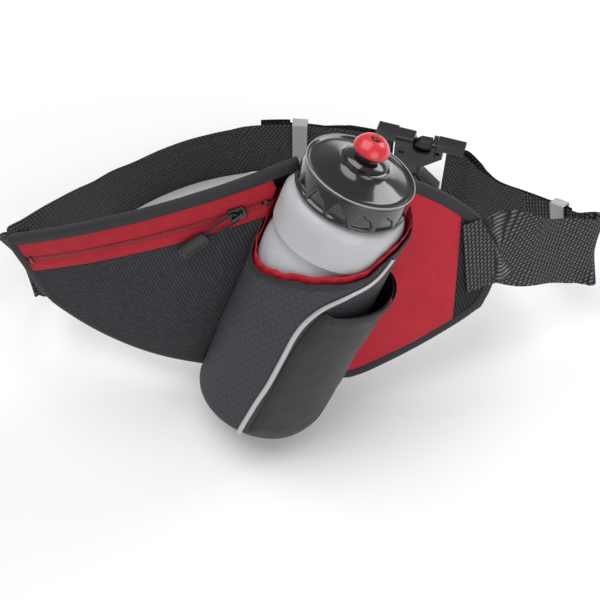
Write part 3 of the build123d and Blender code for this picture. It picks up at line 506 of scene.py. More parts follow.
def binding_run(edge_points, name):
    """Tape wrapped over the edge through the given outline points."""
    tape = bmesh.new()
    cut = tape.loops.layers.uv.new("cut")
    section = [(6.2, -0.2), (5.8, -0.9), (3.0, -1.15), (0.6, -0.9), (-0.7, 0.2), (-1.0, 2.0), (-0.7, 3.8),
               (0.6, 5.2),
               (3.0, 5.9), (5.8, 6.4), (6.2, 6.0)]
    last_ring = None
    run = 0.0
    for place, (s, a) in enumerate(edge_points):
        ahead = edge_points[min(place + 1, len(edge_points) - 1)]
        behind = edge_points[max(place - 1, 0)]
        way = Vector((ahead[0] - behind[0], ahead[1] - behind[1])).normalized()
        inward = Vector((-way.y, way.x)) * binding_side
        ring = []
        for inset, depth in section:
            spot_s, spot_a = s + inward.x * inset, a + inward.y * inset
            lumps = crumple(on_panel(spot_s, spot_a, depth), 0.012, 0.25, 5.0)
            ring.append(tape.verts.new(on_panel(max(min(spot_s, 129.9), -152), spot_a, depth - lumps)))
        if last_ring:
            step = (ring[3].co - last_ring[3].co).length
            for lower in range(len(ring) - 1):
                face = tape.faces.new((last_ring[lower], ring[lower], ring[lower + 1],
                                       last_ring[lower + 1]))
                for corner, flat in zip(face.loops,
                                        ((run, lower), (run + step, lower), (run + step, lower + 1),
                                         (run, lower + 1))):
                    corner[cut].uv = (flat[0], flat[1] * 2.4 * mm)
            run += step
        last_ring = ring
    bmesh.ops.recalc_face_normals(tape, faces=tape.faces[:])
    piece = finish_piece(tape, name, "pack", ["edge_binding"] if name.endswith("left") else [],
                         binding_black)
    thicken = piece.modifiers.new("cloth", "SOLIDIFY")
    thicken.thickness = 0.5 * mm
    smoother = piece.modifiers.new("round", "SUBSURF")
    smoother.levels = smoother.render_levels = 2
    return piece


binding_side = 1.0
binding_run(outline, "edge_binding_left")
binding_side = -1.0
binding_run(right_edge, "edge_binding_right")

# ---- Holster ----
# A tube of honeycomb-embossed softshell sewn to a round base, its mouth cut low on the left
# and rising steeply on the right; it is let into the back panel.
mouth_course = [(-180, 152), (-150, 151), (-125, 146), (-108, 138), (-101, 128), (-95, 116), (-86, 112),
                (-74, 111.5), (-61, 113.5),
                (-45, 119), (-23, 127.5), (4.5, 135), (16, 138), (28, 142), (38, 151), (48, 157), (62, 161),
                (90, 163),
                (115, 162), (145, 157), (180, 152)]


def mouth_height(bearing):
    """Height of the holster's mouth at a bearing, in millimetres up the bottle."""
    bearing = (bearing + 180.0) % 360.0 - 180.0
    for (start, low), (end, high) in zip(mouth_course, mouth_course[1:]):
        if bearing <= end:
            share = (bearing - start) / (end - start)
            ease = share * share * (3 - 2 * share) * 0.5 + share * 0.5
            return low + (high - low) * ease
    return mouth_course[-1][1]


def round_bottle(radius, bearing, height):
    """A point round the bottle's axis, bearing 0 at the front and + to the right, in mm and degrees."""
    turn = math.radians(bearing)
    return foot + (bottle_right * (radius * math.sin(turn)) + outward * (radius * math.cos(turn))
                   + bottle_up * height) * mm


heel_course = [(0.0, -3.0), (16.0, -3.05), (30.0, -3.05), (36.5, -2.9), (38.7, -1.9), (39.7, 0.0),
               (39.95, 3.0)]
heel_rows = len(heel_course) - 1
wall_rows = 66


def holster_place(u, v):
    bearing = 360.0 * u - 180.0
    row = v * (heel_rows + wall_rows)
    if row <= heel_rows:
        lower = min(int(row + 1e-6), heel_rows - 1)
        part = row - lower
        radius = heel_course[lower][0] + (heel_course[lower + 1][0] - heel_course[lower][0]) * part
        height = heel_course[lower][1] + (heel_course[lower + 1][1] - heel_course[lower][1]) * part
        soft = 0.0
    else:
        share = (row - heel_rows) / wall_rows
        height = 3.0 + (mouth_height(bearing) - 3.0) * share
        radius = 39.95
        front = 0.5 + 0.5 * math.cos(math.radians(bearing + 20))
        slack = 0.25 + 0.75 * math.sin(math.pi * min(1.0, height / 125.0)) ** 2
        spot = round_bottle(radius, bearing, height)
        soft = 0.35 + crumple(spot, 0.034, 0.8, 2.0) * slack + crumple(spot, 0.012, 0.3, 6.0)
        fold = math.sin(math.radians(bearing * 3.1 + height * 2.3)) * 0.35 * slack
        soft += (fold + 0.9 * share ** 6) * front
        soft = max(soft, -0.35)
    place = round_bottle(radius + soft, bearing, height)
    if place.z < 0.0003:
        place.z = 0.0003
    return (math.radians(bearing) * 39.9 * mm, height * mm), place


holster = spread_cloth(144, heel_rows + wall_rows, holster_place)
bmesh.ops.remove_doubles(holster, verts=holster.verts[:], dist=0.00002)
honeycomb = new_finish("embossed_softshell", (0.05, 0.048, 0.056), 0.6, Specular_IOR_Level=0.3)
cut_of = place_of(honeycomb, "UV")
cell = 4.6 * mm
hex_size = (1.0, 1.7320508, 1.0)
scaled = add_node(honeycomb, "ShaderNodeVectorMath", {0: cut_of, 1: (1 / cell, 1 / cell, 0.0)},
                  operation="MULTIPLY").outputs[0]
shifted = add_node(honeycomb, "ShaderNodeVectorMath", {0: scaled, 1: (-0.5, -0.8660254, 0.0)},
                   operation="ADD").outputs[0]
nearest = []
for source in (scaled, shifted):
    wrapped = add_node(honeycomb, "ShaderNodeVectorMath", {0: source, 1: hex_size, 2: (0.0, 0.0, 0.0)},
                       operation="WRAP").outputs[0]
    middle = add_node(honeycomb, "ShaderNodeVectorMath", {0: wrapped, 1: (-0.5, -0.8660254, 0.0)},
                      operation="ADD").outputs[0]
    flat_middle = add_node(honeycomb, "ShaderNodeVectorMath", {0: middle, 1: (1.0, 1.0, 0.0)},
                           operation="MULTIPLY").outputs[0]
    nearest.append(flat_middle)
reach_of = [add_node(honeycomb, "ShaderNodeVectorMath", {0: spot},
                     operation="LENGTH").outputs["Value"] for spot in nearest]
first_nearer = arithmetic(honeycomb, "LESS_THAN", reach_of[0], reach_of[1])
chosen = add_node(honeycomb, "ShaderNodeMix", {0: first_nearer}, data_type="VECTOR")
honeycomb.node_tree.links.new(nearest[1], chosen.inputs[4])
honeycomb.node_tree.links.new(nearest[0], chosen.inputs[5])
parts = add_node(honeycomb, "ShaderNodeSeparateXYZ", {0: chosen.outputs[1]})
side_x = arithmetic(honeycomb, "ABSOLUTE", parts.outputs[0])
side_y = arithmetic(honeycomb, "ABSOLUTE", parts.outputs[1])
slanted = arithmetic(honeycomb, "ADD", arithmetic(honeycomb, "MULTIPLY", side_x, 0.5),
                     arithmetic(honeycomb, "MULTIPLY", side_y, 0.8660254))
hex_reach = arithmetic(honeycomb, "MAXIMUM", slanted, side_x)
groove = add_node(honeycomb, "ShaderNodeMapRange",
                  {"Value": hex_reach, "From Min": 0.38, "From Max": 0.47, "To Min": 0.0, "To Max": 1.0})
patchy = speckle(honeycomb, cut_of, 30 * mm)
shade = arithmetic(honeycomb, "MULTIPLY", groove.outputs[0], arithmetic(honeycomb, "ADD", patchy, 0.25))
join_shader(honeycomb, "Base Color", mix_colour(honeycomb, shade, (0.052, 0.050, 0.059),
                                                (0.030, 0.029, 0.034)))
yarn = speckle(honeycomb, cut_of, 0.7 * mm)
relief = arithmetic(honeycomb, "MULTIPLY_ADD", groove.outputs[0], -1.0,
                    arithmetic(honeycomb, "MULTIPLY", yarn, 0.5))
raise_by(honeycomb, relief, 0.22 * mm, 0.6)
holster_piece = finish_piece(holster, "holster_softshell", "pack", ["holster_shell", "holster_base"],
                             honeycomb)
thicken = holster_piece.modifiers.new("cloth", "SOLIDIFY")
thicken.thickness = 1.1 * mm
smoother = holster_piece.modifiers.new("round", "SUBSURF")
smoother.levels = smoother.render_levels = 1

# ---- Holster lining ----
# Thin red cloth gathered by elastic at the mouth, so that its edge stands up in small scallops.


def lining_place(u, v):
    bearing = 360.0 * u - 180.0
    rim = mouth_height(bearing)
    gather = 0.5 + 0.5 * math.sin(math.radians(bearing * 30.0)
                                  + 2.0 * noise.noise(Vector((bearing / 17.0, 1.0, 0.0))))
    left = 0.35 + 0.65 * (0.5 + 0.5 * math.cos(math.radians(bearing + 75)))
    height = rim - 22.0 + 22.0 * v + (4.4 + 1.6 * gather * left) * v ** 3
    radius = 38.2 - 0.35 * (1 - v) + (0.5 + 1.5 * gather * left) * v ** 4
    return (math.radians(bearing) * 38.0 * mm, height * mm), round_bottle(radius, bearing, height)


lining = spread_cloth(420, 16, lining_place)
bmesh.ops.remove_doubles(lining, verts=lining.verts[:], dist=0.00001)
lining_red = new_finish("gathered_red_lining", (0.46, 0.012, 0.026), 0.55, Specular_IOR_Level=0.3)
cut_of = place_of(lining_red, "UV")
join_shader(lining_red, "Base Color", mix_colour(lining_red, speckle(lining_red, cut_of, 7 * mm),
                                                 (0.36, 0.008, 0.018), (0.60, 0.02, 0.038)))
raise_by(lining_red, arithmetic(lining_red, "MULTIPLY", bands(lining_red, cut_of, 1.0 * mm, "X"),
                                bands(lining_red, cut_of, 1.0 * mm, "Y")), 0.12 * mm)
lining_piece = finish_piece(lining, "holster_lining_gathered", "pack", ["holster_lining"],
                            lining_red)
thicken = lining_piece.modifiers.new("cloth", "SOLIDIFY")
thicken.thickness = 0.4 * mm


def tape_round(name, start, end, low_at, high_at, radius, bulge, nodes, finish, columns=90):
    """A band round the holster between two bearings, rounded across its width."""

    def place(u, v):
        bearing = start + (end - start) * u
        height = low_at(bearing) + (high_at(bearing) - low_at(bearing)) * v
        spot = round_bottle(radius, bearing, height)
        out = radius + bulge * (1 - (2 * v - 1) ** 4) + crumple(spot, 0.01, 0.2, 4.0)
        return (math.radians(bearing) * radius * mm, height * mm), round_bottle(out, bearing, height)

    band = spread_cloth(columns, 8, place)
    bmesh.ops.solidify(band, geom=band.faces[:], thickness=0.5 * mm)
    return finish_piece(band, name, "pack", nodes, finish)


tape_round("mouth_binding", -97, 34, lambda b: mouth_height(b) - 4.6, lambda b: mouth_height(b) + 0.7, 40.7,
           0.7, ["mouth_hem"],
           binding_black)
tape_round("mouth_binding_right", 34, 96, lambda b: mouth_height(b) - 4.2, lambda b: mouth_height(b) + 0.7,
           40.6, 0.6, [],
           binding_black)

# ---- Silver piping ----
# A thin silver reflective piping sewn up the front of the holster and round to the right, below the mouth.
silver = new_finish("silver_piping", (0.52, 0.52, 0.53), 0.38, Metallic=0.35)
cut_of = place_of(silver, "UV")
raise_by(silver, speckle(silver, cut_of, 0.5 * mm), 0.05 * mm)
piping_course = [(-16.4, -1.5), (-15.2, 12.0), (-13.2, 30.0), (-10.6, 47.0), (-9.2, 68.0), (-8.0, 90.0),
                 (-4.5, 104.0), (2.0, 115.0),
                 (10.5, 122.5), (20.0, 129.0), (31.0, 135.0), (40.0, 141.5), (45.5, 149.0), (47.5, 154.0)]


def along_course(course, share):
    """A smooth course through the given rows of numbers, at a share of its length."""
    place = share * (len(course) - 1)
    first = min(int(place), len(course) - 2)
    t = place - first
    row = [course[max(0, min(len(course) - 1, first + shift))] for shift in (-1, 0, 1, 2)]
    return [0.5 * (2 * p1 + (p2 - p0) * t + (2 * p0 - 5 * p1 + 4 * p2 - p3) * t * t
                   + (3 * p1 - p0 - 3 * p2 + p3) * t ** 3)
            for p0, p1, p2, p3 in zip(*row)]


def holster_radius_at(bearing, height):
    """The holster's own outside, following its soft folds."""
    share = max(0.0, min(1.0, (height - 3.0) / (mouth_height(bearing) - 3.0)))
    return ((holster_place((bearing + 180.0) / 360.0,
                           (heel_rows + share * wall_rows) / (heel_rows + wall_rows))[1]
             - round_bottle(0.0, 0.0, height)).length / mm)


def piping_place(u, v):
    bearing, height = along_course(piping_course, u)
    ahead_bearing, ahead_height = along_course(piping_course, min(1.0, u + 0.01))
    behind_bearing, behind_height = along_course(piping_course, max(0.0, u - 0.01))
    way = Vector((math.radians(ahead_bearing - behind_bearing) * 40.0,
                  ahead_height - behind_height)).normalized()
    shift = (v - 0.5) * 2.7
    bearing += math.degrees(way.y * shift / 40.0)
    height -= way.x * shift
    out = holster_radius_at(bearing, height) + 0.25 + 1.0 * math.sqrt(max(0.0, 1 - (2 * v - 1) ** 2))
    return (u * 0.22, v * 2.7 * mm), round_bottle(out, bearing, height)


piping = spread_cloth(130, 8, piping_place)
bmesh.ops.recalc_face_normals(piping, faces=piping.faces[:])
piping_piece = finish_piece(piping, "silver_piping_cord", "pack", ["reflective_piping"],
                            silver)
thicken = piping_piece.modifiers.new("cloth", "SOLIDIFY")
thicken.thickness = 0.4 * mm

# ---- Stretch side pocket ----
# Smooth black stretch cloth over the right side of the holster, gathered into pleats along
# its back edge and finished with a soft elastic hem.
stretch = new_finish("smooth_stretch_cloth", (0.020, 0.019, 0.023), 0.5, Specular_IOR_Level=0.4)
cut_of = place_of(stretch, "UV")
join_shader(stretch, "Base Color", mix_colour(stretch, speckle(stretch, cut_of, 22 * mm),
                                              (0.014, 0.013, 0.016), (0.030, 0.029, 0.034)))
raise_by(stretch, bands(stretch, cut_of, 0.8 * mm, "X"), 0.06 * mm)


def side_hem(bearing):
    """Height of the side pocket's top edge."""
    return 113.0 + 9.0 * math.sin(math.radians(max(0.0, bearing - 5) * 1.15))


def side_left(v):
    """Bearing of the side pocket's front edge, which follows the piping."""
    return -9.0 + 5.0 * v + 8.0 * v ** 6


def side_place(u, v):
    bearing = side_left(v) + (100.5 - side_left(v)) * u
    height = 1.5 + (side_hem(bearing) - 1.5) * v
    closed = min(1.0, u * 12.0, (1 - u) * 7.0, v * 9.0)
    ease = math.sin(closed * math.pi / 2)
    fan = (112.0 - height) * 17.0 / (1.0 + 0.9 * u) + bearing * 3.2
    pleat = (0.5 + 0.5 * math.sin(math.radians(fan))) ** 2 * max(0.0,
                                                                 u - 0.25) ** 1.2 * max(0.0, v - 0.25) * 2.6
    spot = round_bottle(43.0, bearing, height)
    soft = crumple(spot, 0.028, 0.9, 1.0) + crumple(spot, 0.009, 0.3,
                                                    3.0) + pleat * 0.6 * min(1.0, (1 - v) * 8, v * 8)
    bulge = 3.2 + 5.2 * max(0.0, math.sin(math.pi * min(1.0, u * 1.05))) * v ** 1.4
    out = 40.5 + ease * (bulge + soft)
    place = round_bottle(out, bearing, height)
    place.z = max(place.z, 0.0004)
    return (math.radians(bearing) * 43 * mm, height * mm), place


side_cloth = spread_cloth(90, 80, side_place)
side_pocket = finish_piece(side_cloth, "side_pocket_stretch", "pack", ["side_pocket"],
                           stretch)
thicken = side_pocket.modifiers.new("cloth", "SOLIDIFY")
thicken.thickness = 0.8 * mm
smoother = side_pocket.modifiers.new("round", "SUBSURF")
smoother.levels = smoother.render_levels = 1


def side_hem_place(u, v):
    bearing = 5.5 + 92.0 * u
    height = side_hem(bearing) - 5.4 + 6.2 * v
    spot = round_bottle(43.0, bearing, height)
    tucked = math.sin(min(1.0, u * 10.0, (1 - u) * 7.0) * math.pi / 2)
    out = 40.6 + tucked * (4.3 + 5.0 * math.sin(math.pi * min(1.0,
                                                              u * 1.05)) + 0.9 * (1 - (2 * v - 1) ** 4)
                           + crumple(spot, 0.012, 0.5, 4.0))
    return (math.radians(bearing) * 46 * mm, height * mm), round_bottle(out, bearing, height)


side_elastic = spread_cloth(90, 8, side_hem_place)
bmesh.ops.solidify(side_elastic, geom=side_elastic.faces[:], thickness=0.6 * mm)
finish_piece(side_elastic, "side_pocket_elastic_hem", "pack", ["side_pocket_elastic"],
             binding_black)

# ---- Bottle ----
# A squeezable frosted bottle blown in translucent plastic, with a finger groove below its shoulder
# and a plain open neck under the cap.


def turned(course, steps, body, name, nodes, finish, closed=True, sharp=None):
    """Turn a profile of (radius, height) about the bottle's axis."""
    shape = bmesh.new()
    rings = [shape.verts.new(round_bottle(radius, 0.0, height)) for radius, height in course]
    edges = [shape.edges.new(pair) for pair in zip(rings, rings[1:])]
    if closed:
        edges.append(shape.edges.new((rings[-1], rings[0])))
    bmesh.ops.spin(shape, geom=rings + edges, cent=foot, axis=bottle_up, angle=math.tau, steps=steps,
                   use_merge=True)
    bmesh.ops.remove_doubles(shape, verts=shape.verts[:], dist=0.000005)
    bmesh.ops.recalc_face_normals(shape, faces=shape.faces[:])
    return finish_piece(shape, name, body, nodes, finish, sharp=sharp)


def rounded(course, rounds=3):
    """Cut the corners of a profile into short arcs."""
    for _ in range(rounds):
        smoother_course = [course[0]]
        for (r0, h0), (r1, h1) in zip(course, course[1:]):
            smoother_course += [(r0 * 0.78 + r1 * 0.22, h0 * 0.78 + h1 * 0.22),
                                (r0 * 0.22 + r1 * 0.78, h0 * 0.22 + h1 * 0.78)]
        course = smoother_course + [course[-1]]
    return course


bottle_outside = rounded([(0, 2.4), (22, 2.2), (26, 0.1), (34.5, 0.1), (36.75, 3), (36.75, 9), (36.75, 60),
                          (36.75, 116), (36.75, 124),
                          (36.0, 130), (34.3, 134.5), (34.2, 137), (34.6, 139), (36.6, 140.2), (36.75, 143),
                          (36.75, 155), (36.75, 158.5),
                          (36.1, 162.5), (33.2, 166.5), (27.2, 168.8), (27, 170), (27, 184)])
bottle_inside = [(max(radius - 1.3, 0.0), height + (1.3 if height < 30 else 0.0)) for radius,
                 height in reversed(bottle_outside)]
frosted = new_finish("frosted_bottle", (0.78, 0.79, 0.83), 0.34, Transmission_Weight=0.5, IOR=1.45,
                     Specular_IOR_Level=0.5)
cloudy = speckle(frosted, place_of(frosted), 30 * mm)
join_shader(frosted, "Base Color", mix_colour(frosted, cloudy, (0.79, 0.81, 0.865), (0.92, 0.93, 0.955)))
raise_by(frosted, speckle(frosted, place_of(frosted), 1.0 * mm), 0.03 * mm)
turned(bottle_outside + bottle_inside, 128, "bottle", "bottle_frosted", ["bottle_body"],
       frosted)

# ---- Cap ----
# Gloss black screw cap: a skirt with a row of raised wave grips, a rolled rim painted pale grey
# as a painted highlight, a shallow cone up to a stepped collar, and a sealing ring inside.
gloss_black = new_finish("gloss_black_plastic", (0.008, 0.008, 0.009), 0.16, Coat_Weight=0.9,
                         Coat_Roughness=0.06)
raise_by(gloss_black, speckle(gloss_black, place_of(gloss_black), 8 * mm), 0.012 * mm)
cone_course = [(32.5, 184.6), (32.4, 186.1), (31.7, 186.7), (30.9, 186.5), (30.3, 185.8), (29.5, 185.6),
               (27, 186.4), (20, 189.0), (15.6, 190.9),
               (14.3, 192.1), (14.1, 193.2), (13.0, 193.5), (12.7, 193.3), (11.9, 193.25), (11.9, 194.4),
               (11.2, 194.8), (8.1, 194.8), (7.9, 190),
               (14, 188.5), (24, 185.6), (27.1, 185.4), (27.1, 170.5), (31.6, 170.0), (31.8, 184.0)]
turned(cone_course, 128, "cap", "cap_cone", ["bottle_cap"], gloss_black, sharp=40)


def skirt_place(u, v):
    bearing = 360.0 * u
    height = 169.4 + 15.4 * v
    base = 33.4 - 0.9 * v
    turn = (u * 14.0) % 1.0
    crest = 0.52 + 0.30 * math.sin(math.tau * turn) + 0.12 * math.sin(2 * math.tau * turn + 0.6)
    band = max(0.0, min(1.0, (crest - (v - 0.06) / 0.82) * 7.0)) * max(0.0, min(1.0, (v - 0.10) * 14.0))
    out = base - 1.5 * min(band, 1.0)
    return (bearing / 360.0 * 0.21, height * mm), round_bottle(out, bearing, height)


skirt = spread_cloth(560, 36, skirt_place)
bmesh.ops.remove_doubles(skirt, verts=skirt.verts[:], dist=0.000005)
bmesh.ops.solidify(skirt, geom=skirt.faces[:], thickness=0.7 * mm)
finish_piece(skirt, "cap_skirt_grips", "cap", [], gloss_black)
# The rolled rim is painted pale grey: a painted highlight that stands in for the gloss on its edge.
rim_painted_highlight = new_finish("cap_rim_painted_highlight", (0.30, 0.305, 0.315), 0.15, Coat_Weight=0.5)
raise_by(rim_painted_highlight, speckle(rim_painted_highlight, place_of(rim_painted_highlight), 4 * mm), 0.02 * mm)
rim_course = [(31.9, 186.5), (32.2, 186.85), (32.55, 186.75), (32.7, 186.3), (32.6, 185.9), (32.2, 185.8)]
turned(rim_course, 128, "cap", "cap_rim", [], rim_painted_highlight)
seal_white = new_finish("soft_seal", (0.75, 0.75, 0.73), 0.5)
raise_by(seal_white, speckle(seal_white, place_of(seal_white), 1 * mm), 0.03 * mm)
turned([(21, 184.1), (26.4, 184.1), (26.6, 184.8), (26.4, 185.4), (21, 185.4), (20.8, 184.8)], 96, "seal",
       "cap_seal_ring", ["cap_seal"],
       seal_white)

stem_course = [(1.9, 194.2), (2.9, 194.2), (4.2, 194.2), (5.2, 194.4), (5.2, 204.9), (5.5, 205.3),
               (7.4, 205.3), (7.8, 204.9), (7.8, 197.4),
               (9.4, 196.4), (12.2, 195.5), (13.0, 194.6), (13.0, 193.6), (7.8, 193.4), (7.7, 192.2),
               (2.5, 192.2), (0.0, 192.2)]
pin_course = [(0.0, 208.0), (0.8, 208.1), (1.2, 208.5), (1.7, 208.5), (1.9, 208.1)]
turned(pin_course + stem_course, 96, "cap", "nozzle_stem_black", ["nozzle_stem"],
       gloss_black, closed=False, sharp=40)

# ---- Mouthpiece ----
# Soft gloss red dome that pulls up on the stem, with a rounded lip and one drinking hole.
mouth_red = new_finish("soft_red_mouthpiece", (0.66, 0.03, 0.045), 0.26, Coat_Weight=0.3,
                       Subsurface_Weight=0.08)
mouth_red.node_tree.nodes["Principled BSDF"].inputs["Subsurface Radius"].default_value = (0.004, 0.001, 0.001)
raise_by(mouth_red, speckle(mouth_red, place_of(mouth_red), 1.5 * mm), 0.03 * mm)
dome = [(7.86, 200.7), (9.6, 200.6), (10.4, 200.9), (10.7, 201.8), (10.5, 203.0), (9.8, 204.6),
        (8.6, 206.3), (7.0, 207.8), (5.3, 208.8),
        (4.2, 209.2), (3.5, 209.1), (3.1, 208.4), (2.6, 207.0), (2.1, 206.6), (2.05, 206.0), (2.1, 205.6),
        (7.0, 205.6), (7.86, 205.2)]
turned(rounded(dome, 1), 96, "nozzle", "mouthpiece_red", ["mouthpiece"], mouth_red)

# ---- Belt ----
# Charcoal polypropylene webbing, 50 wide: woven in rows of small raised stitches with firm edges.
# The left half comes from behind the wing, the right half is sewn to the front of the other wing.
belt_middle = Vector((-14.8, 9.0, 0.0))
buckle_turn = math.radians(18.0)
buckle_dir = Vector((math.cos(buckle_turn), -math.sin(buckle_turn), 0.0))
buckle_out = Vector((math.sin(buckle_turn), math.cos(buckle_turn), 0.0))
buckle_middle = belt_middle + buckle_out * 175.7 + buckle_dir * 48.6 + Vector((0.0, 0.0, 31.0))
upright = Vector((0.0, 0.0, 1.0))


def belt_point(bearing, height, extra=0.0):
    """A point of the belt's curve behind the pack, in millimetres."""
    turn = math.radians(bearing)
    reach = 173.0 + extra
    return belt_middle + Vector((reach * math.sin(turn), reach * math.cos(turn), height))


def leaning(angle):
    """A width direction that leans back from upright."""
    return Vector((0.0, math.sin(math.radians(angle)), math.cos(math.radians(angle))))


def in_buckle(x, z):
    """A point on the middle line of the buckle, in millimetres."""
    return buckle_middle + buckle_dir * x - buckle_out * z


webbing = new_finish("woven_webbing", (0.04, 0.04, 0.044), 0.78, Specular_IOR_Level=0.3)
cut_of = place_of(webbing, "UV")
stitch_rows = bands(webbing, cut_of, 2.3 * mm, "Y")
slant = add_node(webbing, "ShaderNodeMapping",
                 {"Vector": cut_of, "Rotation": (0, 0, math.radians(32))}).outputs[0]
stitches_in_row = bands(webbing, slant, 2.6 * mm, "X")
weave_height = arithmetic(webbing, "MULTIPLY", stitch_rows, stitches_in_row)
# The raised stitches are drawn lighter, more so in some patches than in others.
lighter_raised_stitches = arithmetic(webbing, "MULTIPLY", weave_height,
                  arithmetic(webbing, "ADD", speckle(webbing, cut_of, 5 * mm), 0.35))
join_shader(webbing, "Base Color", mix_colour(webbing, lighter_raised_stitches, (0.024, 0.024, 0.027), (0.17, 0.17, 0.182)))
raise_by(webbing, weave_height, 0.4 * mm)

front_webbing = new_finish("flecked_webbing", (0.05, 0.05, 0.053), 0.8, Specular_IOR_Level=0.3)
cut_of = place_of(front_webbing, "UV")
warp = bands(front_webbing, cut_of, 2.6 * mm, "X", 1.2)
zigzag = add_node(front_webbing, "ShaderNodeMapping",
                  {"Vector": cut_of, "Rotation": (0, 0, math.radians(-38))}).outputs[0]
weft = bands(front_webbing, zigzag, 2.3 * mm, "Y", 2.0)
fleck_height = arithmetic(front_webbing, "MULTIPLY", warp, weft)
uneven = arithmetic(front_webbing, "MULTIPLY", fleck_height,
                    arithmetic(front_webbing, "ADD", speckle(front_webbing, cut_of, 2.2 * mm), 0.15))
join_shader(front_webbing, "Base Color", mix_colour(front_webbing, uneven, (0.011, 0.011, 0.013),
                                                    (0.30, 0.30, 0.31)))
raise_by(front_webbing, fleck_height, 0.45 * mm)


def ribbon(course, columns, thickness=1.7):
    """Webbing along a smooth course of points and width directions."""
    rows = [(*point, *widthways) for point, widthways in course]
    lengths = [0.0]
    for number in range(columns):
        here = Vector(along_course(rows, number / columns)[:3])
        there = Vector(along_course(rows, (number + 1) / columns)[:3])
        lengths.append(lengths[-1] + (there - here).length)

    def place(u, v):
        spot = along_course(rows, u)
        ahead = Vector(along_course(rows, min(1.0, u + 0.002))[:3])
        behind = Vector(along_course(rows, max(0.0, u - 0.002))[:3])
        along = (ahead - behind).normalized()
        widthways = Vector(spot[3:])
        widthways = (widthways - along * widthways.dot(along)).normalized()
        normal = along.cross(widthways)
        middle = Vector(spot[:3])
        bow = crumple(middle * mm + widthways * v * 0.05, 0.03, 0.25, 2.0)
        centre = middle + widthways * ((v - 0.5) * 49.6) + normal * bow
        run = lengths[min(columns, int(round(u * columns)))]
        return (run * mm, v * 50.0 * mm), centre * mm

    cloth = spread_cloth(columns, 14, place)
    bmesh.ops.solidify(cloth, geom=cloth.faces[:], thickness=thickness * mm)
    return cloth


def panel_mm(s, a, depth):
    """A point of the panel in millimetres."""
    return on_panel(s, a, depth) / mm


left_run = [(panel_mm(s, 58, depth), wing_up) for s,
            depth in ((-137, 8.8), (-141, 8.0), (-146, 7.0), (-150.5, 6.4))]
left_run += [(Vector((-175.5, 38.5, 78.5)), leaning(18) - across * 0.3),
             (Vector((-178.5, 42.5, 75.5)), leaning(20) - across * 0.25),
             (Vector((-178.2, 48, 72)), leaning(20) - across * 0.2),
             (Vector((-175.5, 56, 68)), leaning(18) - across * 0.12),
             (Vector((-169, 73, 60)), leaning(14)), (Vector((-157.5, 96, 46.5)), leaning(10)),
             (Vector((-146, 115.5, 35.5)), leaning(6)),
             (Vector((-133.5, 134, 29)), leaning(2))]
left_run += [(belt_point(bearing, height), upright) for bearing, height in
             ((-37, 25.6), (-30, 25.3), (-23, 25.3), (-16, 25.3), (-11, 25.8), (-7, 27.3), (-1, 27.3),
              (5, 27.3), (11, 27.3), (13, 28.1),
              (15.5, 29.0), (18, 29.9))]
left_run += [(in_buckle(-31.0, 2.7), upright), (in_buckle(-22.0, 2.7), upright)]
webbing_left = ribbon(left_run, 220)
finish_piece(webbing_left, "webbing_left", "pack", ["strap_left"], webbing,
             sharp=50)


def round_bar(side):
    """The half turn of webbing round a bar of the buckle."""
    return [(in_buckle(side * (22.0 - 2.7 * math.sin(math.radians(turn))),
                       2.7 * math.cos(math.radians(turn))), upright)
            for turn in range(0, 181, 30)]


left_tail = round_bar(-1) + [(in_buckle(-31.0, -2.7), upright)]
left_tail += [(belt_point(bearing, height, extra), upright) for bearing, height, extra in
              ((18, 29.9, 5.0), (16, 29.2, 4.2), (14, 28.5, 3.3), (12.5, 27.9, 2.6))]
left_tail += [(belt_point(bearing, 27.3, 2.2), upright) for bearing in (11, 8, 5, 2, -1, -3.8)]
finish_piece(ribbon(left_tail, 110), "webbing_left_tail", "pack", ["strap_left_tail"], webbing,
             sharp=50)
end_fold = [(belt_point(bearing, 27.3, 5.0), upright) for bearing in (-4.4, -3.4, -2, 0.5, 2.5)]
finish_piece(ribbon(end_fold, 24, thickness=3.4), "webbing_end_fold", "pack", ["tail_end_left"],
             webbing, sharp=50)

seam_way = (panel_mm(116.6, -10.7, 0) - panel_mm(102, -56.3, 0)).normalized()
straight_start, straight_end = Vector((184, 71.5, 57.6)), Vector((139, 116.5, 33.5))
straight_way = (straight_end - straight_start).normalized()
straight_width = leaning(10)
tail_width = (straight_width - straight_way * straight_width.dot(straight_way)).normalized()
tail_side = straight_way.cross(tail_width) * 2.2
front_run = [(panel_mm(s, a, -2.4), seam_way) for s,
             a in ((109.3, -33.5), (118.5, -36.3), (127.4, -39.3), (133.5, -41.2))]
front_run += [(Vector((148, 43.5, 84.3)), leaning(19)), (Vector((168, 50.5, 77)), leaning(17)),
              (Vector((184, 54, 71.3)), leaning(16)),
              (Vector((191.2, 56.2, 68.8)), leaning(15)), (Vector((193.8, 59.6, 66.5)), leaning(14)),
              (Vector((192.6, 63.2, 63.7)), leaning(13)),
              (Vector((188.9, 67, 60.5)), leaning(11))]
front_run += [(straight_start.lerp(straight_end, share),
               straight_width) for share in (0.0, 0.2, 0.42, 0.62)]
finish_piece(ribbon(front_run, 170), "webbing_right", "pack", ["strap_right"], front_webbing,
             sharp=50)
end_run = [(straight_start.lerp(straight_end, share), straight_width) for share in (0.62, 0.8, 1.0)]
end_run += [(Vector((129, 129.6, 31.3)), leaning(5)), (Vector((122, 140.6, 31)), upright),
            (in_buckle(33.5, 2.7), upright),
            (in_buckle(28, 2.7), upright), (in_buckle(22, 2.7), upright)]
finish_piece(ribbon(end_run, 70), "webbing_right_end", "buckle_plug", ["strap_right_end"],
             webbing, sharp=50)
right_tail = round_bar(1) + [(in_buckle(28, -2.7), upright), (in_buckle(35, -2.7), upright),
                             (Vector((127.4, 142.2, 31)), upright),
                             (Vector((131.6, 131.6, 31.5)), leaning(5)),
                             (straight_end + tail_side * 1.05, straight_width)]
right_tail += [(straight_start.lerp(straight_end, share) + tail_side,
                straight_width) for share in (0.62, 0.35, 0.05)]
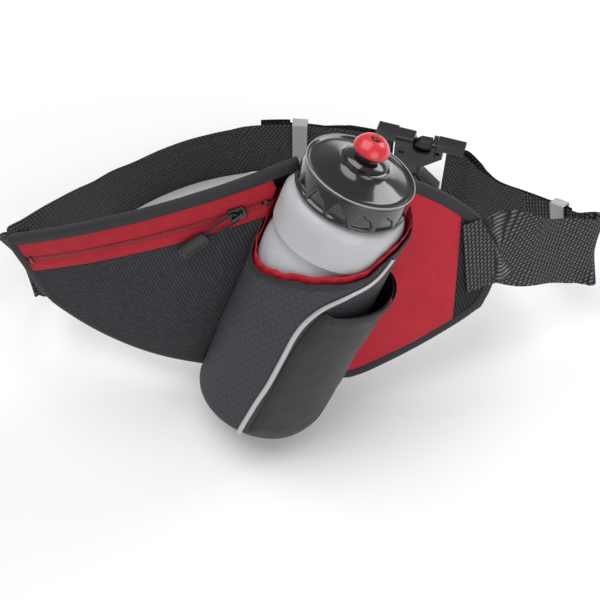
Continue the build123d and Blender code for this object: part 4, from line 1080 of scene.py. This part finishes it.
finish_piece(ribbon(right_tail, 110), "webbing_right_tail", "buckle_plug", ["strap_right_tail"],
             webbing, sharp=50)

# ---- Keepers ----
# Loops of silver-grey elastic that hold the loose tails against the belt.
keeper_grey = new_finish("silver_keeper_elastic", (0.45, 0.455, 0.46), 0.55)
keeper_place = place_of(keeper_grey)
grey_ribs = bands(keeper_grey, keeper_place, 1.0 * mm, "Z")
join_shader(keeper_grey, "Base Color", mix_colour(keeper_grey, grey_ribs, (0.34, 0.345, 0.35),
                                                  (0.60, 0.605, 0.61)))
raise_by(keeper_grey, grey_ribs, 0.15 * mm)
for node, body in (("keeper_left", "left_keeper"), ("keeper_right", "right_keeper")):
    finish_piece(softened_copy(node, 0.35 * mm), node + "_elastic", body, [node],
                 keeper_grey, sharp=45)

# ---- Buckle ----
# Side-release buckle moulded in satin-gloss black: a hollow socket with a V-shaped throat, and a plug
# with two springy prongs whose shoulders show in the windows of the socket.
moulded_black = new_finish("moulded_black_buckle", (0.017, 0.017, 0.020), 0.32, Coat_Weight=0.1)
raise_by(moulded_black, speckle(moulded_black, place_of(moulded_black), 0.9 * mm), 0.04 * mm)
for node, body in (("buckle_female", "pack"), ("buckle_male", "buckle_plug"),
                   ("prong_upper", "upper_prong"), ("prong_lower", "lower_prong")):
    finish_piece(softened_copy(node, 1.0 * mm, 3), node + "_moulded", body, [node],
                 moulded_black, sharp=40)

# ---- Floor and light ----
# A pale seamless floor under one large soft lamp from above and behind on the left, with a weaker fill.
floor = bmesh.new()
bmesh.ops.create_grid(floor, x_segments=1, y_segments=1, size=4.0)
floor_data = bpy.data.meshes.new("floor")
floor.to_mesh(floor_data)
floor.free()
floor_paint = new_finish("pale_floor", (0.985, 0.985, 0.985), 0.9)
floor_data.materials.append(floor_paint)
floor_piece = bpy.data.objects.new("floor", floor_data)
bpy.context.scene.collection.objects.link(floor_piece)

world = bpy.data.worlds.new("studio")
bpy.context.scene.world = world
world.use_nodes = True
world.node_tree.nodes["Background"].inputs["Color"].default_value = (1.0, 1.0, 1.0, 1.0)
world.node_tree.nodes["Background"].inputs["Strength"].default_value = 0.31


def add_lamp(name, place, towards, size, power):
    """A soft square lamp."""
    lamp = bpy.data.lights.new(name, "AREA")
    lamp.size = size
    lamp.energy = power
    holder = bpy.data.objects.new(name, lamp)
    holder.location = place
    holder.rotation_euler = (Vector(towards) - Vector(place)).to_track_quat("-Z", "Y").to_euler()
    bpy.context.scene.collection.objects.link(holder)


add_lamp("key", (-0.35, 0.25, 1.45), (0, 0.02, 0.05), 1.3, 15.0)
add_lamp("front_fill", (0.5, -0.9, 0.7), (0, 0, 0.08), 0.9, 5.5)
add_lamp("cap_glint", (0.95, 0.62, 0.66), (0.04, 0.01, 0.18), 0.6, 4.5)

bpy.context.scene.view_settings.view_transform = "Standard"
